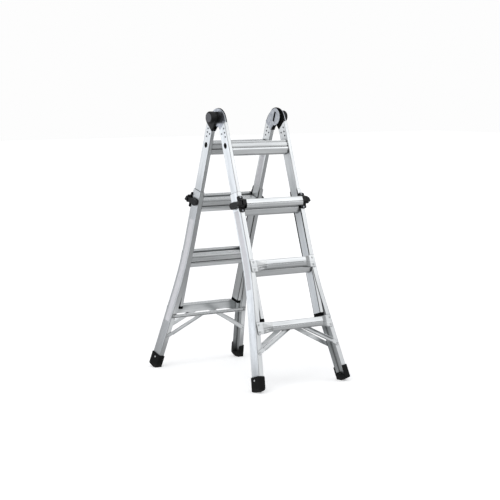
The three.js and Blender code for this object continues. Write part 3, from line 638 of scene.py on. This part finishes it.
@dataclass(frozen=True)
class MouldedNylon:
    """Black glass filled nylon, injection moulded in a spark eroded tool.

    The eye gets a deep neutral black with a fine pebble and a broad satin sheen,
    greyed a little along the edges where it rubs.
    """

    name: str = "glass_filled_nylon_moulded"
    plain: str = "#0E0F10"
    dusty: str = "#242527"
    roughness: float = 0.46
    # A spark eroded pebble is about 0.3 mm; it is drawn at 1 mm so as to show.
    pebble_size: float = 1.0
    pebble_depth: float = 0.12
    cloud_size: float = 25.0
    sheen: float = 0.3

    def build(self) -> bpy.types.Material:
        """Builds the material."""
        surface = Surface(self.name)
        pebble = surface.noise(surface.place, 1 / mm(self.pebble_size), detail=3.0, roughness=0.6)
        clouds = surface.noise(surface.place, 1 / mm(self.cloud_size), detail=5.0, roughness=0.6)
        rubbed, rounded = surface.edges(1.2)
        colour = surface.tint(surface.maths("MULTIPLY", rubbed, clouds), self.plain, self.dusty)
        surface.cover(colour, surface.around(clouds, self.roughness, 0.08, 0.1))
        surface.roughen(pebble, self.pebble_depth, 0.35, rounded)
        surface.shader.inputs["IOR"].default_value = 1.53
        surface.shader.inputs["Specular IOR Level"].default_value = self.sheen
        return surface.material


@dataclass(frozen=True)
class MouldedRubber:
    """Black carbon filled rubber, compression moulded.

    The eye gets a matt black that is never quite even, with grey dust where the boot
    is handled and on the edge that meets the floor.
    """

    name: str = "carbon_black_rubber_moulded"
    plain: str = "#0D0E0E"
    dusty: str = "#2C2B2A"
    roughness: float = 0.62
    # The mould's sand grain is about 0.4 mm; it is drawn at 1.4 mm so as to show.
    grain_size: float = 1.4
    grain_depth: float = 0.2
    dust_size: float = 18.0
    dust_height: float = 26.0
    sheen: float = 0.16

    def build(self) -> bpy.types.Material:
        """Builds the material."""
        surface = Surface(self.name)
        grain = surface.noise(surface.place, 1 / mm(self.grain_size), detail=4.0, roughness=0.65)
        dust = surface.noise(surface.place, 1 / mm(self.dust_size), detail=6.0, roughness=0.7)
        height = surface.out("ShaderNodeSeparateXYZ", "Z", {"Vector": surface.place})
        low = surface.spread(height, mm(self.dust_height), 0.0)
        rubbed, rounded = surface.edges(1.6)
        grey = surface.maths("MULTIPLY", surface.maths("MAXIMUM", low, rubbed), dust)
        colour = surface.tint(grey, self.plain, self.dusty)
        surface.cover(colour, surface.around(dust, self.roughness, 0.1, 0.14))
        surface.roughen(grain, self.grain_depth, 0.4, rounded)
        surface.shader.inputs["IOR"].default_value = 1.52
        surface.shader.inputs["Specular IOR Level"].default_value = self.sheen
        return surface.material


@dataclass(frozen=True)
class LabelFilm:
    """Unprinted satin polyester film, stuck down.

    The eye gets a flat, faintly cool grey that doesn't flash as the metal does, with
    a few trapped ripples showing through.
    """

    name: str = "polyester_film_satin"
    plain: str = "#D6D6DA"
    shaded: str = "#C4C4C8"
    roughness: float = 0.5
    ripple_size: float = 14.0
    ripple_depth: float = 0.15

    def build(self) -> bpy.types.Material:
        """Builds the material."""
        surface = Surface(self.name)
        ripple = surface.noise(surface.place, 1 / mm(self.ripple_size), detail=5.0, roughness=0.6)
        colour = surface.tint(ripple, self.plain, self.shaded)
        surface.cover(colour, surface.around(ripple, self.roughness, 0.08, 0.08))
        surface.roughen(ripple, self.ripple_depth, 0.3)
        surface.shader.inputs["IOR"].default_value = 1.57
        return surface.material


class Finish(Enum):
    """The finishes that pieces are given."""

    FRONT_RAIL = auto()
    REAR_RAIL = auto()
    BRACE = auto()
    RUNG = auto()
    ZINC = auto()
    BLACK_STEEL = auto()
    DARK_STEEL = auto()
    NYLON = auto()
    ACETAL = auto()
    RUBBER = auto()
    FILM = auto()
    DARK_FILM = auto()


class Finishes:
    """Every finish, each built once."""

    def __init__(self) -> None:
        """Builds the materials."""
        lean = FRONT_PLANE.lean_degrees
        length = Vector((0, 0, 1))
        width = Vector((1, 0, 0))
        kinds = {
            Finish.FRONT_RAIL: ExtrudedAluminium(
                "extruded_aluminium_front_rails", lean, length,
                grime_share=0.6, corner_share=0.65, rubbed_plane=FRONT_PLANE,
            ),
            Finish.REAR_RAIL: ExtrudedAluminium(
                "extruded_aluminium_rear_rails", -lean, length,
                grime_share=0.6, corner_share=0.65, rubbed_plane=REAR_PLANE,
            ),
            Finish.BRACE: ExtrudedAluminium("folded_aluminium_braces", 0, width, grime_share=0.25),
            Finish.RUNG: ExtrudedAluminium("extruded_aluminium_rungs", 0, width),
            Finish.ZINC: ZincPlatedSteel(),
            Finish.BLACK_STEEL: BlackOxideSteel(),
            Finish.DARK_STEEL: BlackOxideSteel("black_oxide_steel_oiled", "#141516", "#3C3D3F", 0.5),
            Finish.NYLON: MouldedNylon(),
            Finish.ACETAL: MouldedNylon("acetal_machined", "#090A0A", "#121313", 0.62, sheen=0.05),
            Finish.RUBBER: MouldedRubber(),
            Finish.FILM: LabelFilm(),
            Finish.DARK_FILM: LabelFilm("polyester_film_slate", "#4C4D52", "#404146", 0.42),
        }
        self.materials = {finish: kind.build() for finish, kind in kinds.items()}

    def give(self, piece: bpy.types.Object, finish: Finish) -> None:
        """Gives a piece one finish all over."""
        piece.data.materials.clear()
        piece.data.materials.append(self.materials[finish])


@dataclass(frozen=True)
class SolidDresser:
    """Gives each solid of the frame its finish by what the piece is."""

    finishes: Finishes
    by_piece: tuple[tuple[Finish, tuple[str, ...]], ...] = (
        (Finish.NYLON, ("inner_rail_cap", "lock_housing", "lock_lever", "hinge_cover", "hinge_knob")),
        (Finish.RUBBER, ("foot",)),
        (Finish.ZINC, ("hinge_plate",)),
        (Finish.ACETAL, ("hinge_filler",)),
        (Finish.DARK_STEEL, ("lock_bar",)),
        (Finish.BRACE, ("brace",)),
        (Finish.RUNG, ("rung", "cross_bar")),
    )

    def dress(self) -> None:
        """Assigns a finish to every solid."""
        for name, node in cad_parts.items():
            self.finishes.give(node, self.finish_for(name))
        log.info("finishes on %d solids", len(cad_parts))

    def finish_for(self, name: str) -> Finish:
        """Finds the finish of a solid by its name; the rails are what is left."""
        for finish, pieces in self.by_piece:
            if any(piece in name for piece in pieces):
                return finish
        return Finish.FRONT_RAIL if name.startswith("front") else Finish.REAR_RAIL


# Small pieces


@dataclass
class DomedRivet:
    """A drive rivet's head: a low dome with a flat crown and a small pit."""

    diameter: float = 8.4
    height: float = 2.0
    sides: int = 20
    pit_share: float = 0.34
    pit_depth_share: float = 0.25
    dome: Profile = ((0.35, 0.97), (0.35, 0.86), (0.3, 0.66))

    def model(self, name: str) -> bpy.types.Object:
        """Models the head round the origin, with its base at Z = 0."""
        with raised_disc(name, self.sides, self.diameter / 2, 40) as head:
            raise_along(self.dome, self.height)
            bpy.ops.mesh.inset(thickness=mm(self.diameter * (1 - self.pit_share) / 5))
            raise_step(-self.height * self.pit_depth_share, 0.8)
        return head


@dataclass
class PanHeadScrew:
    """A pan head screw with a cross recess."""

    diameter: float = 9.5
    height: float = 3.0
    sides: int = 24
    recess_width: float = 1.5
    recess_length: float = 5.4
    recess_depth: float = 1.7
    sharp_degrees: float = 35.0
    dome: Profile = ((0.5, 1.0), (0.3, 0.94), (0.2, 0.8))

    def model(self, name: str) -> bpy.types.Object:
        """Models the head round the origin, with its base at Z = 0."""
        with raised_disc(name, self.sides, self.diameter / 2, self.sharp_degrees) as head:
            raise_along(self.dome, self.height)
        for turn in (0.0, math.pi / 2):
            self.cut_slot(head, turn)
        close_skin(head, self.sharp_degrees)
        return head

    def cut_slot(self, head: bpy.types.Object, turn: float) -> None:
        """Cuts one arm of the cross.

        Args:
            head: the screw's head.
            turn: the arm's direction about Z, in radians.
        """
        bpy.ops.object.select_all(action="DESELECT")
        bpy.ops.mesh.primitive_cube_add(size=1, location=(0, 0, mm(self.height)), rotation=(0, 0, turn))
        slot = start("slot_cutter")
        slot.scale = (mm(self.recess_length), mm(self.recess_width), mm(self.recess_depth * 2))
        cut = head.modifiers.new("recess", "BOOLEAN")
        cut.object = slot
        cut.operation = "DIFFERENCE"
        cut.solver = "EXACT"
        apply_modifiers(head)
        discard(slot)


@dataclass
class RailPieces:
    """A piece that every rail has, made of copies of one shape.

    Each kind gives its shape, and where the copies go on one rail.
    """

    finishes: Finishes
    kind: ClassVar[str]
    finish: ClassVar[Finish]
    section: ClassVar[str]
    slot: ClassVar[str]
    replaced: ClassVar[str | None] = None
    corners: ClassVar[tuple[Corner, ...]] = CORNERS

    def shape(self) -> bpy.types.Object:
        """Models the shape round the origin."""
        raise NotImplementedError

    def seats(self, corner: Corner) -> list[Matrix]:
        """Finds where the copies go on one rail."""
        raise NotImplementedError

    def name(self, corner: Corner) -> str:
        """Names the piece of one rail."""
        return f"{corner.label}_{self.kind}"

    def body(self, corner: Corner) -> str:
        """Finds the body that carries the piece."""
        return f"{corner.half}_{self.section}"

    def build(self) -> None:
        """Builds the piece of every rail."""
        shape = self.shape()
        for corner in self.corners:
            seats = self.seats(corner)
            piece = copies(shape, self.name(corner), seats)
            self.finishes.give(piece, self.finish)
            if self.replaced:
                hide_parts(f"{corner.label}_{self.replaced}")
            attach(piece, self.body(corner))
            log.info("%s: %d shapes", piece.name, len(seats))
        discard(shape)


@dataclass
class RailFasteners(RailPieces):
    """A set of fasteners of which only the heads are seen."""

    head: DomedRivet | PanHeadScrew = field(default_factory=DomedRivet)

    def shape(self) -> bpy.types.Object:
        """Models a head."""
        return self.head.model(f"{self.kind}_head")


@dataclass
class HingeRivets(RailFasteners):
    """The rivets that hold each hinge half in its inner rail, seen on both faces."""

    kind = "hinge_rivets"
    finish = Finish.BLACK_STEEL
    section = "inner_section"
    slot = "hinge_steel"
    # Low heads, which pass inside the outer rails.
    head: DomedRivet = field(default_factory=lambda: DomedRivet(height=1.5))
    # Out and down of each rivet, as the photograph shows them.
    front_places: Profile = ((13.5, 71.0), (13.5, 92.5), (-11.0, 92.0), (13.0, 113.5))
    rear_places: Profile = ((6.5, 71.0), (6.5, 90.0), (-13.5, 92.5), (7.0, 112.0))
    middle: float = 185.4
    stand_off: float = 60.0

    def seats(self, corner: Corner) -> list[Matrix]:
        """Finds the seats on both faces of the rail."""
        places = self.front_places if corner.plane is FRONT_PLANE else self.rear_places
        return [
            seat(
                f"{corner.label}_inner_rail",
                corner.point(self.middle + face * self.stand_off, out, down),
                -face * corner.outwards,
            )
            for out, down in places
            for face in (1, -1)
        ]


@dataclass
class LockScrews(RailFasteners):
    """The two screws that hold each lock housing to its rail."""

    kind = "lock_screws"
    finish = Finish.ZINC
    section = "outer_section"
    slot = "hinge_steel"
    head: PanHeadScrew = field(default_factory=PanHeadScrew)
    across: float = 190.0
    places_down: tuple[float, ...] = (423.5, 489.0)
    stand_off: float = 150.0

    def seats(self, corner: Corner) -> list[Matrix]:
        """Finds the seats on the housing's outer face."""
        starts = [corner.point(self.across, self.stand_off, down) for down in self.places_down]
        return [seat(f"{corner.label}_lock_housing", place, -corner.plane.out) for place in starts]


@dataclass
class SectionRivets(RailFasteners):
    """The rivets of the rung ends, cross bar and braces on the outer rails."""

    kind = "section_rivets"
    finish = Finish.RUNG
    section = "outer_section"
    slot = "rung_aluminium"
    head: DomedRivet = field(default_factory=lambda: DomedRivet(diameter=9.5, height=2.2))
    # The rungs by number, and how far down each one is.
    rungs_down: tuple[tuple[int, float], ...] = ((2, 764.6), (1, 1069.4))
    rung_tab_inset: float = 17.0
    rung_rivet_spread: float = 17.0
    bar_down: float = 1074.4
    bar_inset: float = 14.0
    brace_down: float = 1184.4
    brace_inset: float = 12.9
    stand_off: float = 150.0
    flare_apex: float = 803.0
    flare_slope: float = 0.1424
    half_width: float = 200.2

    def half_width_at(self, down: float) -> float:
        """Finds how far across the outer face of an outer rail is at a place down it."""
        return self.half_width + max(down - self.flare_apex, 0.0) * self.flare_slope

    def seats(self, corner: Corner) -> list[Matrix]:
        """Finds the seats down one outer rail."""
        spots = []
        for number, rung in self.rungs_down:
            across = self.half_width_at(rung) - self.rung_tab_inset
            for spread in (-self.rung_rivet_spread, self.rung_rivet_spread):
                spots.append((f"{corner.half}_outer_rung_{number}", across, 1, rung + spread))
        across = self.half_width_at(self.bar_down) - self.bar_inset
        spots.append((f"{corner.half}_cross_bar", across, -1, self.bar_down))
        across = self.half_width_at(self.brace_down) - self.brace_inset
        spots.append((f"{corner.label}_outside_brace", across, 1, self.brace_down))
        spots.append((f"{corner.label}_inside_brace", across, -1, self.brace_down))
        return [
            seat(owner, corner.point(across, way * self.stand_off, down), -way * corner.plane.out)
            for owner, across, way, down in spots
        ]


@dataclass
class BootRivets(RailFasteners):
    """The pale rivet through the outer side of each boot."""

    kind = "boot_rivet"
    finish = Finish.RUNG
    section = "outer_section"
    slot = "rung_aluminium"
    head: DomedRivet = field(default_factory=lambda: DomedRivet(diameter=10.5, height=2.4))
    out: float = -3.0
    down: float = 1311.0
    stand_off: float = 400.0

    def seats(self, corner: Corner) -> list[Matrix]:
        """Finds the seat on the boot's outer side."""
        place = corner.point(self.stand_off, self.out, self.down)
        return [seat(f"{corner.label}_foot", place, -corner.outwards)]


@dataclass
class PinHoleBushings(RailPieces):
    """The black bushings that line the lock pins' holes in the inner rails."""

    kind = "pin_hole_bushings"
    finish = Finish.ACETAL
    section = "inner_section"
    slot = "black_plastic"
    places_down: tuple[float, ...] = (155.0, 459.8, 764.6)
    face: float = 195.7
    width: float = 24.0
    length: float = 29.0
    rim: float = 3.6
    proud: float = 0.4
    depth: float = 13.0
    sides: int = 36

    def shape(self) -> bpy.types.Object:
        """Models one bushing round the origin, with the rail's face at Z = 0."""
        with raised_disc("pin_hole_bushing", self.sides, 1.0, 35) as bushing:
            bpy.ops.transform.resize(value=(self.width / 2, self.length / 2, 1), center_override=(0, 0, 0))
            raise_step(self.proud / 2, 0.99)
            raise_step(self.proud / 2, 0.96)
            bpy.ops.mesh.inset(thickness=mm(self.rim))
            raise_step(-self.proud, 0.98)
            raise_step(-self.depth, 0.97)
        return bushing

    def seats(self, corner: Corner) -> list[Matrix]:
        """Finds the seats in the holes of the rail's outer face."""
        starts = [corner.point(self.face, 0, down) for down in self.places_down]
        return [facing_place(place, corner.plane.out, corner.outwards) for place in starts]


@dataclass
class RailEndCaps(RailPieces):
    """The moulded caps at the feet of the inner rails: a thick sole with a thin lip round the rail."""

    kind = "rail_end_cap"
    finish = Finish.ACETAL
    section = "inner_section"
    slot = "black_plastic"
    replaced = "inner_rail_cap"
    across: float = 185.4
    sole_down: float = 1038.9
    rail_width: float = 20.6
    rail_depth: float = 55.0
    rail_wall: float = 2.0
    sole: float = 8.0
    height: float = 15.5
    plug: float = 22.0
    proud: float = 0.4
    fit: float = 0.05
    corner: float = 2.2
    edge: float = 1.2
    # How high each step goes from the ground up and how far its outline lies inside the lip, in mm.
    round_steps: Profile = ((0.35, 0.5), (0.85, 0.0), (13.9, 0.0), (0.4, 0.12))

    def shape(self) -> bpy.types.Object:
        """Models one cap with its sole at Z = 0 and the rail's width along X."""
        inner = self.proud - self.fit
        bore = self.proud + self.rail_wall + self.fit
        cap = square("rail_end_cap")
        width, depth = self.outline(self.edge)
        with editing(cap):
            bpy.ops.transform.resize(value=(mm(width), mm(depth), 1), center_override=(0, 0, 0))
            bpy.ops.mesh.bevel(offset=mm(self.corner), segments=5, affect="VERTICES")
            hollow = ((0.0, inner), (self.sole - self.height, inner), (0.0, bore), (self.plug, bore))
            for rise, inside in (*self.round_steps, *hollow):
                new_width, new_depth = self.outline(inside)
                raise_step(rise, new_width / width, new_depth / depth)
                width, depth = new_width, new_depth
        close_skin(cap, 32)
        return cap

    def outline(self, inside: float) -> tuple[float, float]:
        """Finds the width and depth of the outline that lies a distance in mm inside the lip."""
        grown = 2 * (self.proud - inside)
        return self.rail_width + grown, self.rail_depth + grown

    def seats(self, corner: Corner) -> list[Matrix]:
        """Finds the place of the sole under the rail."""
        sole = corner.point(self.across, 0, self.sole_down)
        return [facing_place(sole, corner.outwards, -corner.plane.down)]


@dataclass
class KnobPieces(RailPieces):
    """A piece that moves with each hinge's release knob."""

    slot = "black_plastic"
    corners = (REAR_LEFT, REAR_RIGHT)

    def name(self, corner: Corner) -> str:
        """Names the piece of one side."""
        return f"{corner.side.label}_{self.kind}"

    def body(self, corner: Corner) -> str:
        """Finds the knob that carries the piece."""
        return f"{corner.side.label}_knob"


@dataclass
class ReleaseKnobs(KnobPieces):
    """The moulded knobs that are pushed in to free the hinges: round cups with a socket for the spindle."""

    kind = "release_knob"
    finish = Finish.NYLON
    replaced = "hinge_knob"
    diameter: float = 60.8
    length: float = 27.0
    wall: float = 4.0
    boss_radius: float = 11.0
    boss_length: float = 12.0
    socket_radius: float = 7.3
    socket_floor: float = 1.0
    draft: float = 0.98
    boss_draft: float = 0.96
    sides: int = 72
    face_share: float = 0.75
    # How far each step down from the face goes, and how wide it is there, as shares of the knob's size.
    round_shares: Profile = (
        (0.012, 0.800), (0.025, 0.860), (0.040, 0.912), (0.055, 0.955), (0.060, 0.985), (0.065, 1.0),
        (0.520, 1.0), (0.030, 0.988), (0.020, 0.962), (0.060, 0.962), (0.020, 0.988), (0.030, 1.0),
        (0.063, 1.0),
    )

    def shape(self) -> bpy.types.Object:
        """Models one knob round the Z axis, with its open end at Z = 0."""
        radius = self.diameter / 2
        with raised_disc("release_knob", self.sides, radius * self.face_share, 32) as knob:
            bpy.ops.transform.translate(value=(0, 0, mm(self.length)))
            raise_along(self.round_shares, -self.length, self.face_share)
            bpy.ops.mesh.inset(thickness=mm(self.wall))
            raise_step(self.length - self.wall, self.draft)
            raise_step(0.0, self.boss_radius / ((radius - self.wall) * self.draft))
            raise_step(-self.boss_length, self.boss_draft)
            raise_step(0.0, self.socket_radius / (self.boss_radius * self.boss_draft))
            raise_step(self.boss_length - self.socket_floor, 1.0)
        return knob

    def seats(self, corner: Corner) -> list[Matrix]:
        """Finds the place of the knob's open end on the hinge axis."""
        low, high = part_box(f"{corner.label}_{self.replaced}")
        inside = low[0] if corner.side is Side.RIGHT else high[0]
        axis = Vector((inside, 0, mm(corner.plane.axis_height)))
        return [facing_place(axis, Vector((0, 1, 0)), corner.outwards)]


@dataclass
class KnobDiscs(KnobPieces):
    """The plain slate discs on the faces of the release knobs."""

    kind = "knob_disc"
    finish = Finish.DARK_FILM
    diameter: float = 45.0
    thickness: float = 0.5
    border: float = 1.2
    dip_share: float = 0.3
    sides: int = 48
    stand_off: float = 400.0

    def shape(self) -> bpy.types.Object:
        """Models one disc round the origin, with a soft edge."""
        with raised_disc("knob_disc", self.sides, self.diameter / 2, 30) as disc:
            raise_step(self.thickness / 2, 1.0)
            raise_step(self.thickness / 2, 0.985)
            bpy.ops.mesh.inset(thickness=mm(self.border))
            raise_step(-self.thickness * self.dip_share, 0.99)
        return disc

    def seats(self, corner: Corner) -> list[Matrix]:
        """Finds the seat on the knob's face, on the hinge axis."""
        far = corner.outwards * mm(self.stand_off) + Vector((0, 0, mm(corner.plane.axis_height)))
        return [seat(f"{corner.label}_hinge_knob", far, -corner.outwards)]


@dataclass(frozen=True)
class FilmPlace:
    """Where one label film lies: its rail, its section, its middle and its size."""

    corner: Corner
    section: str
    across: float
    out: float
    down: float
    width: float
    length: float


@dataclass
class LabelFilms:
    """Plain films where the ladder carries its labels, left without any print."""

    finishes: Finishes
    corner: float = 4.0
    thickness: float = 0.12
    stand_off: float = 60.0
    strips: int = 24
    places: tuple[FilmPlace, ...] = (
        FilmPlace(FRONT_LEFT, "outer", 225.0, -3.0, 680.0, 34.0, 390.0),
        FilmPlace(REAR_LEFT, "outer", 235.0, -2.0, 830.0, 34.0, 560.0),
        FilmPlace(REAR_RIGHT, "inner", 175.0, 0.0, 290.0, 30.0, 190.0),
    )

    def build(self) -> None:
        """Builds every film."""
        for place in self.places:
            self.build_film(place)

    def build_film(self, place: FilmPlace) -> None:
        """Models one film and presses it on its solid.

        Args:
            place: where it lies.
        """
        film = square(f"{place.corner.label}_rail_film")
        film.data.transform(Matrix.Diagonal((mm(place.width), mm(place.length), 1, 1)))
        with editing(film):
            bpy.ops.mesh.select_mode(type="VERT")
            bpy.ops.mesh.bevel(offset=mm(self.corner), segments=4, affect="VERTICES")
            for k in range(1, self.strips):
                height = mm(place.length) * (k / self.strips - 0.5)
                bpy.ops.mesh.select_all(action="SELECT")
                bpy.ops.mesh.bisect(plane_co=(0, height, 0), plane_no=(0, 1, 0))
        plane = place.corner.plane
        facing = Vector((-1, 0, 0))
        centre = place.corner.point(place.across, place.out, place.down) + facing * mm(self.stand_off)
        basis = Matrix((plane.out, -plane.down, facing)).transposed()
        film.data.transform(Matrix.Translation(centre) @ basis.to_4x4())
        self.press(film, place)
        self.finishes.give(film, Finish.FILM)
        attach(film, f"{place.corner.half}_{place.section}_section")
        log.info("%s", film.name)

    def press(self, film: bpy.types.Object, place: FilmPlace) -> None:
        """Presses a film on its solid and gives it its thickness.

        Args:
            film: the flat film in front of its solid.
            place: where it lies.
        """
        wrap = film.modifiers.new("press", "SHRINKWRAP")
        wrap.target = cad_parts[f"{place.corner.label}_{place.section}_rail"]
        wrap.wrap_method = "PROJECT"
        wrap.use_project_x = True
        wrap.use_negative_direction = True
        wrap.use_positive_direction = True
        wrap.cull_face = "BACK"
        wrap.offset = mm(self.thickness / 2)
        shell = film.modifiers.new("thickness", "SOLIDIFY")
        shell.thickness = mm(self.thickness)
        shell.offset = 0
        apply_modifiers(film)
        close_skin(film, 30)


# Studio


def aimed(data: bpy.types.ID, place: Sequence[float], way: Vector) -> bpy.types.Object:
    """Puts a lamp or a camera at a place in metres, turned to look along a way."""
    thing = bpy.data.objects.new(data.name, data)
    thing.location = place
    thing.rotation_euler = way.to_track_quat("-Z", "Y").to_euler()
    bpy.context.scene.collection.objects.link(thing)
    return thing


@dataclass(frozen=True)
class Glow:
    """A broad patch of the room, bright or dark: the way to it, how it spreads and what light it adds."""

    way: tuple[float, float, float]
    edge: float
    middle: float
    bright: float


@dataclass(frozen=True)
class SoftBox:
    """A flat soft box that only polished surfaces mirror; its middle and size are in metres."""

    name: str
    middle: tuple[float, float, float]
    shines: tuple[float, float, float]
    width: float
    height: float
    bright: float
    colour: str = "#FCFDFF"

    def build(self) -> None:
        """Builds the box, which neither the camera nor the floor sees."""
        lamp = bpy.data.lights.new(self.name, "AREA")
        lamp.shape = "RECTANGLE"
        lamp.size = self.width
        lamp.size_y = self.height
        lamp.energy = self.bright * math.pi * self.width * self.height
        lamp.color = linear(self.colour)[:3]
        box = aimed(lamp, self.middle, Vector(self.shines))
        box.visible_camera = False
        box.visible_diffuse = False


@dataclass
class Studio:
    """A pale floor, a dim pale room with bright patches, a key lamp and soft boxes."""

    floor_size: float = 60000.0
    floor_colour: str = "#F7F7F7"
    floor_shade: str = "#F3F3F3"
    floor_lift: float = 0.31
    floor_roughness: float = 0.9
    room_base: float = 0.35
    light_colour: str = "#FCFDFF"
    backdrop_colour: str = "#FDFDFD"
    glows: tuple[Glow, ...] = (
        Glow((0.52, -0.74, 0.43), 0.60, 0.95, 0.50),
        Glow((-0.85, -0.45, 0.30), 0.60, 0.95, 0.40),
        Glow((0.15, 0.30, 1.0), 0.45, 0.95, 0.50),
        Glow((-0.60, -0.79, 0.10), 0.84, 0.97, -0.46),
    )
    key_way: tuple[float, float, float] = (-0.60, -0.45, 0.66)
    key_strength: float = 0.9
    key_spread_degrees: float = 50.0
    boxes: tuple[SoftBox, ...] = (
        SoftBox("left_box", (-0.865, 0.523, 0.77), (0.6, -0.79, 0.0), 0.57, 1.40, 1.05, "#F3F7FF"),
        SoftBox("upper_back_box", (-0.37, 0.90, 1.30), (0.6, -0.79, 0.0), 0.6, 0.7, 0.60),
        SoftBox("front_box", (1.60, -2.10, 2.10), (-0.6, 0.71, -0.37), 1.8, 1.3, 0.60),
        SoftBox("low_box", (0.22, 0.14, 0.03), (0.0, 0.0, 1.0), 0.7, 0.25, 0.45),
    )

    def build(self) -> None:
        """Builds the floor, the room's light and the lamps."""
        self.build_floor()
        self.build_room()
        self.build_key()
        for box in self.boxes:
            box.build()
        bpy.context.scene.view_settings.view_transform = "Standard"
        log.info("studio")

    def build_floor(self) -> None:
        """Builds the floor and keeps it out of the metal's reflections."""
        floor = square("floor", mm(self.floor_size))
        surface = Surface("painted_floor_matt")
        clouds = surface.noise(surface.place, 3.0, detail=4.0)
        colour = surface.tint(clouds, self.floor_colour, self.floor_shade)
        surface.tree.links.new(colour, surface.shader.inputs["Base Color"])
        surface.shader.inputs["Roughness"].default_value = self.floor_roughness
        surface.shader.inputs["Specular IOR Level"].default_value = 0.1
        surface.shader.inputs["Emission Color"].default_value = (1, 1, 1, 1)
        surface.shader.inputs["Emission Strength"].default_value = self.floor_lift
        floor.data.materials.append(surface.material)
        floor.visible_glossy = False
        floor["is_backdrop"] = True

    def build_room(self) -> None:
        """Lights the room dimly all round, with its bright patches on top."""
        world = bpy.data.worlds.new("studio_room")
        world.use_nodes = True
        bpy.context.scene.world = world
        room = Patterns(world.node_tree)
        way = room.out("ShaderNodeTexCoord", "Generated")
        light = self.room_base
        for glow in self.glows:
            facing = room.dot(way, tuple(Vector(glow.way).normalized()))
            patch = room.spread(facing, glow.edge, glow.middle, high=glow.bright, shape="SMOOTHSTEP")
            light = room.maths("ADD", patch, light)
        lit = {"Color": linear(self.light_colour), "Strength": light}
        seen = {"Color": linear(self.backdrop_colour), "Strength": 1.0}
        inputs = {
            0: room.out("ShaderNodeLightPath", "Is Camera Ray"),
            1: room.out("ShaderNodeBackground", 0, lit),
            2: room.out("ShaderNodeBackground", 0, seen),
        }
        both = room.out("ShaderNodeMixShader", 0, inputs)
        add_node(room.tree, "ShaderNodeOutputWorld", {"Surface": both})

    def build_key(self) -> None:
        """Builds the broad, far key lamp, which gives the soft shadows."""
        lamp = bpy.data.lights.new("key", "SUN")
        lamp.energy = self.key_strength
        lamp.angle = math.radians(self.key_spread_degrees)
        aimed(lamp, (0, 0, 0), -Vector(self.key_way))


@dataclass
class Viewpoint:
    """The camera at the photograph's place, found by fitting the ladder's points."""

    place: tuple[float, float, float] = (-4.7560, -6.2874, 1.4577)
    target: tuple[float, float, float] = (0.0081, -0.0127, 0.62905)
    lens: float = 113.28
    sensor: float = 36.0

    def build(self) -> None:
        """Builds the camera and makes it the scene's."""
        data = bpy.data.cameras.new("viewpoint")
        data.lens = self.lens
        data.sensor_width = self.sensor
        bpy.context.scene.camera = aimed(data, self.place, Vector(self.target) - Vector(self.place))
        log.info("camera")


def corners(box: Sequence[Vector]) -> list[list[float]]:
    """Turns a box's two corners to plain lists of numbers."""
    return [[float(value) for value in corner] for corner in box]


def main() -> None:
    """Builds the scene and reports each piece."""
    logging.basicConfig(level=logging.INFO, format="%(message)s")
    Viewpoint().build()
    Studio().build()
    finishes = Finishes()
    SolidDresser(finishes).dress()
    # The discs are seated on the plain knobs, before the moulded ones replace them.
    for kind in (
        HingeRivets, KnobDiscs, ReleaseKnobs, PinHoleBushings, RailEndCaps,
        LockScrews, SectionRivets, BootRivets, LabelFilms,
    ):
        kind(finishes).build()
    {"cad": corners(CAD_BOX), "visual": corners(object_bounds())}


if __name__ == "__main__":
    main()
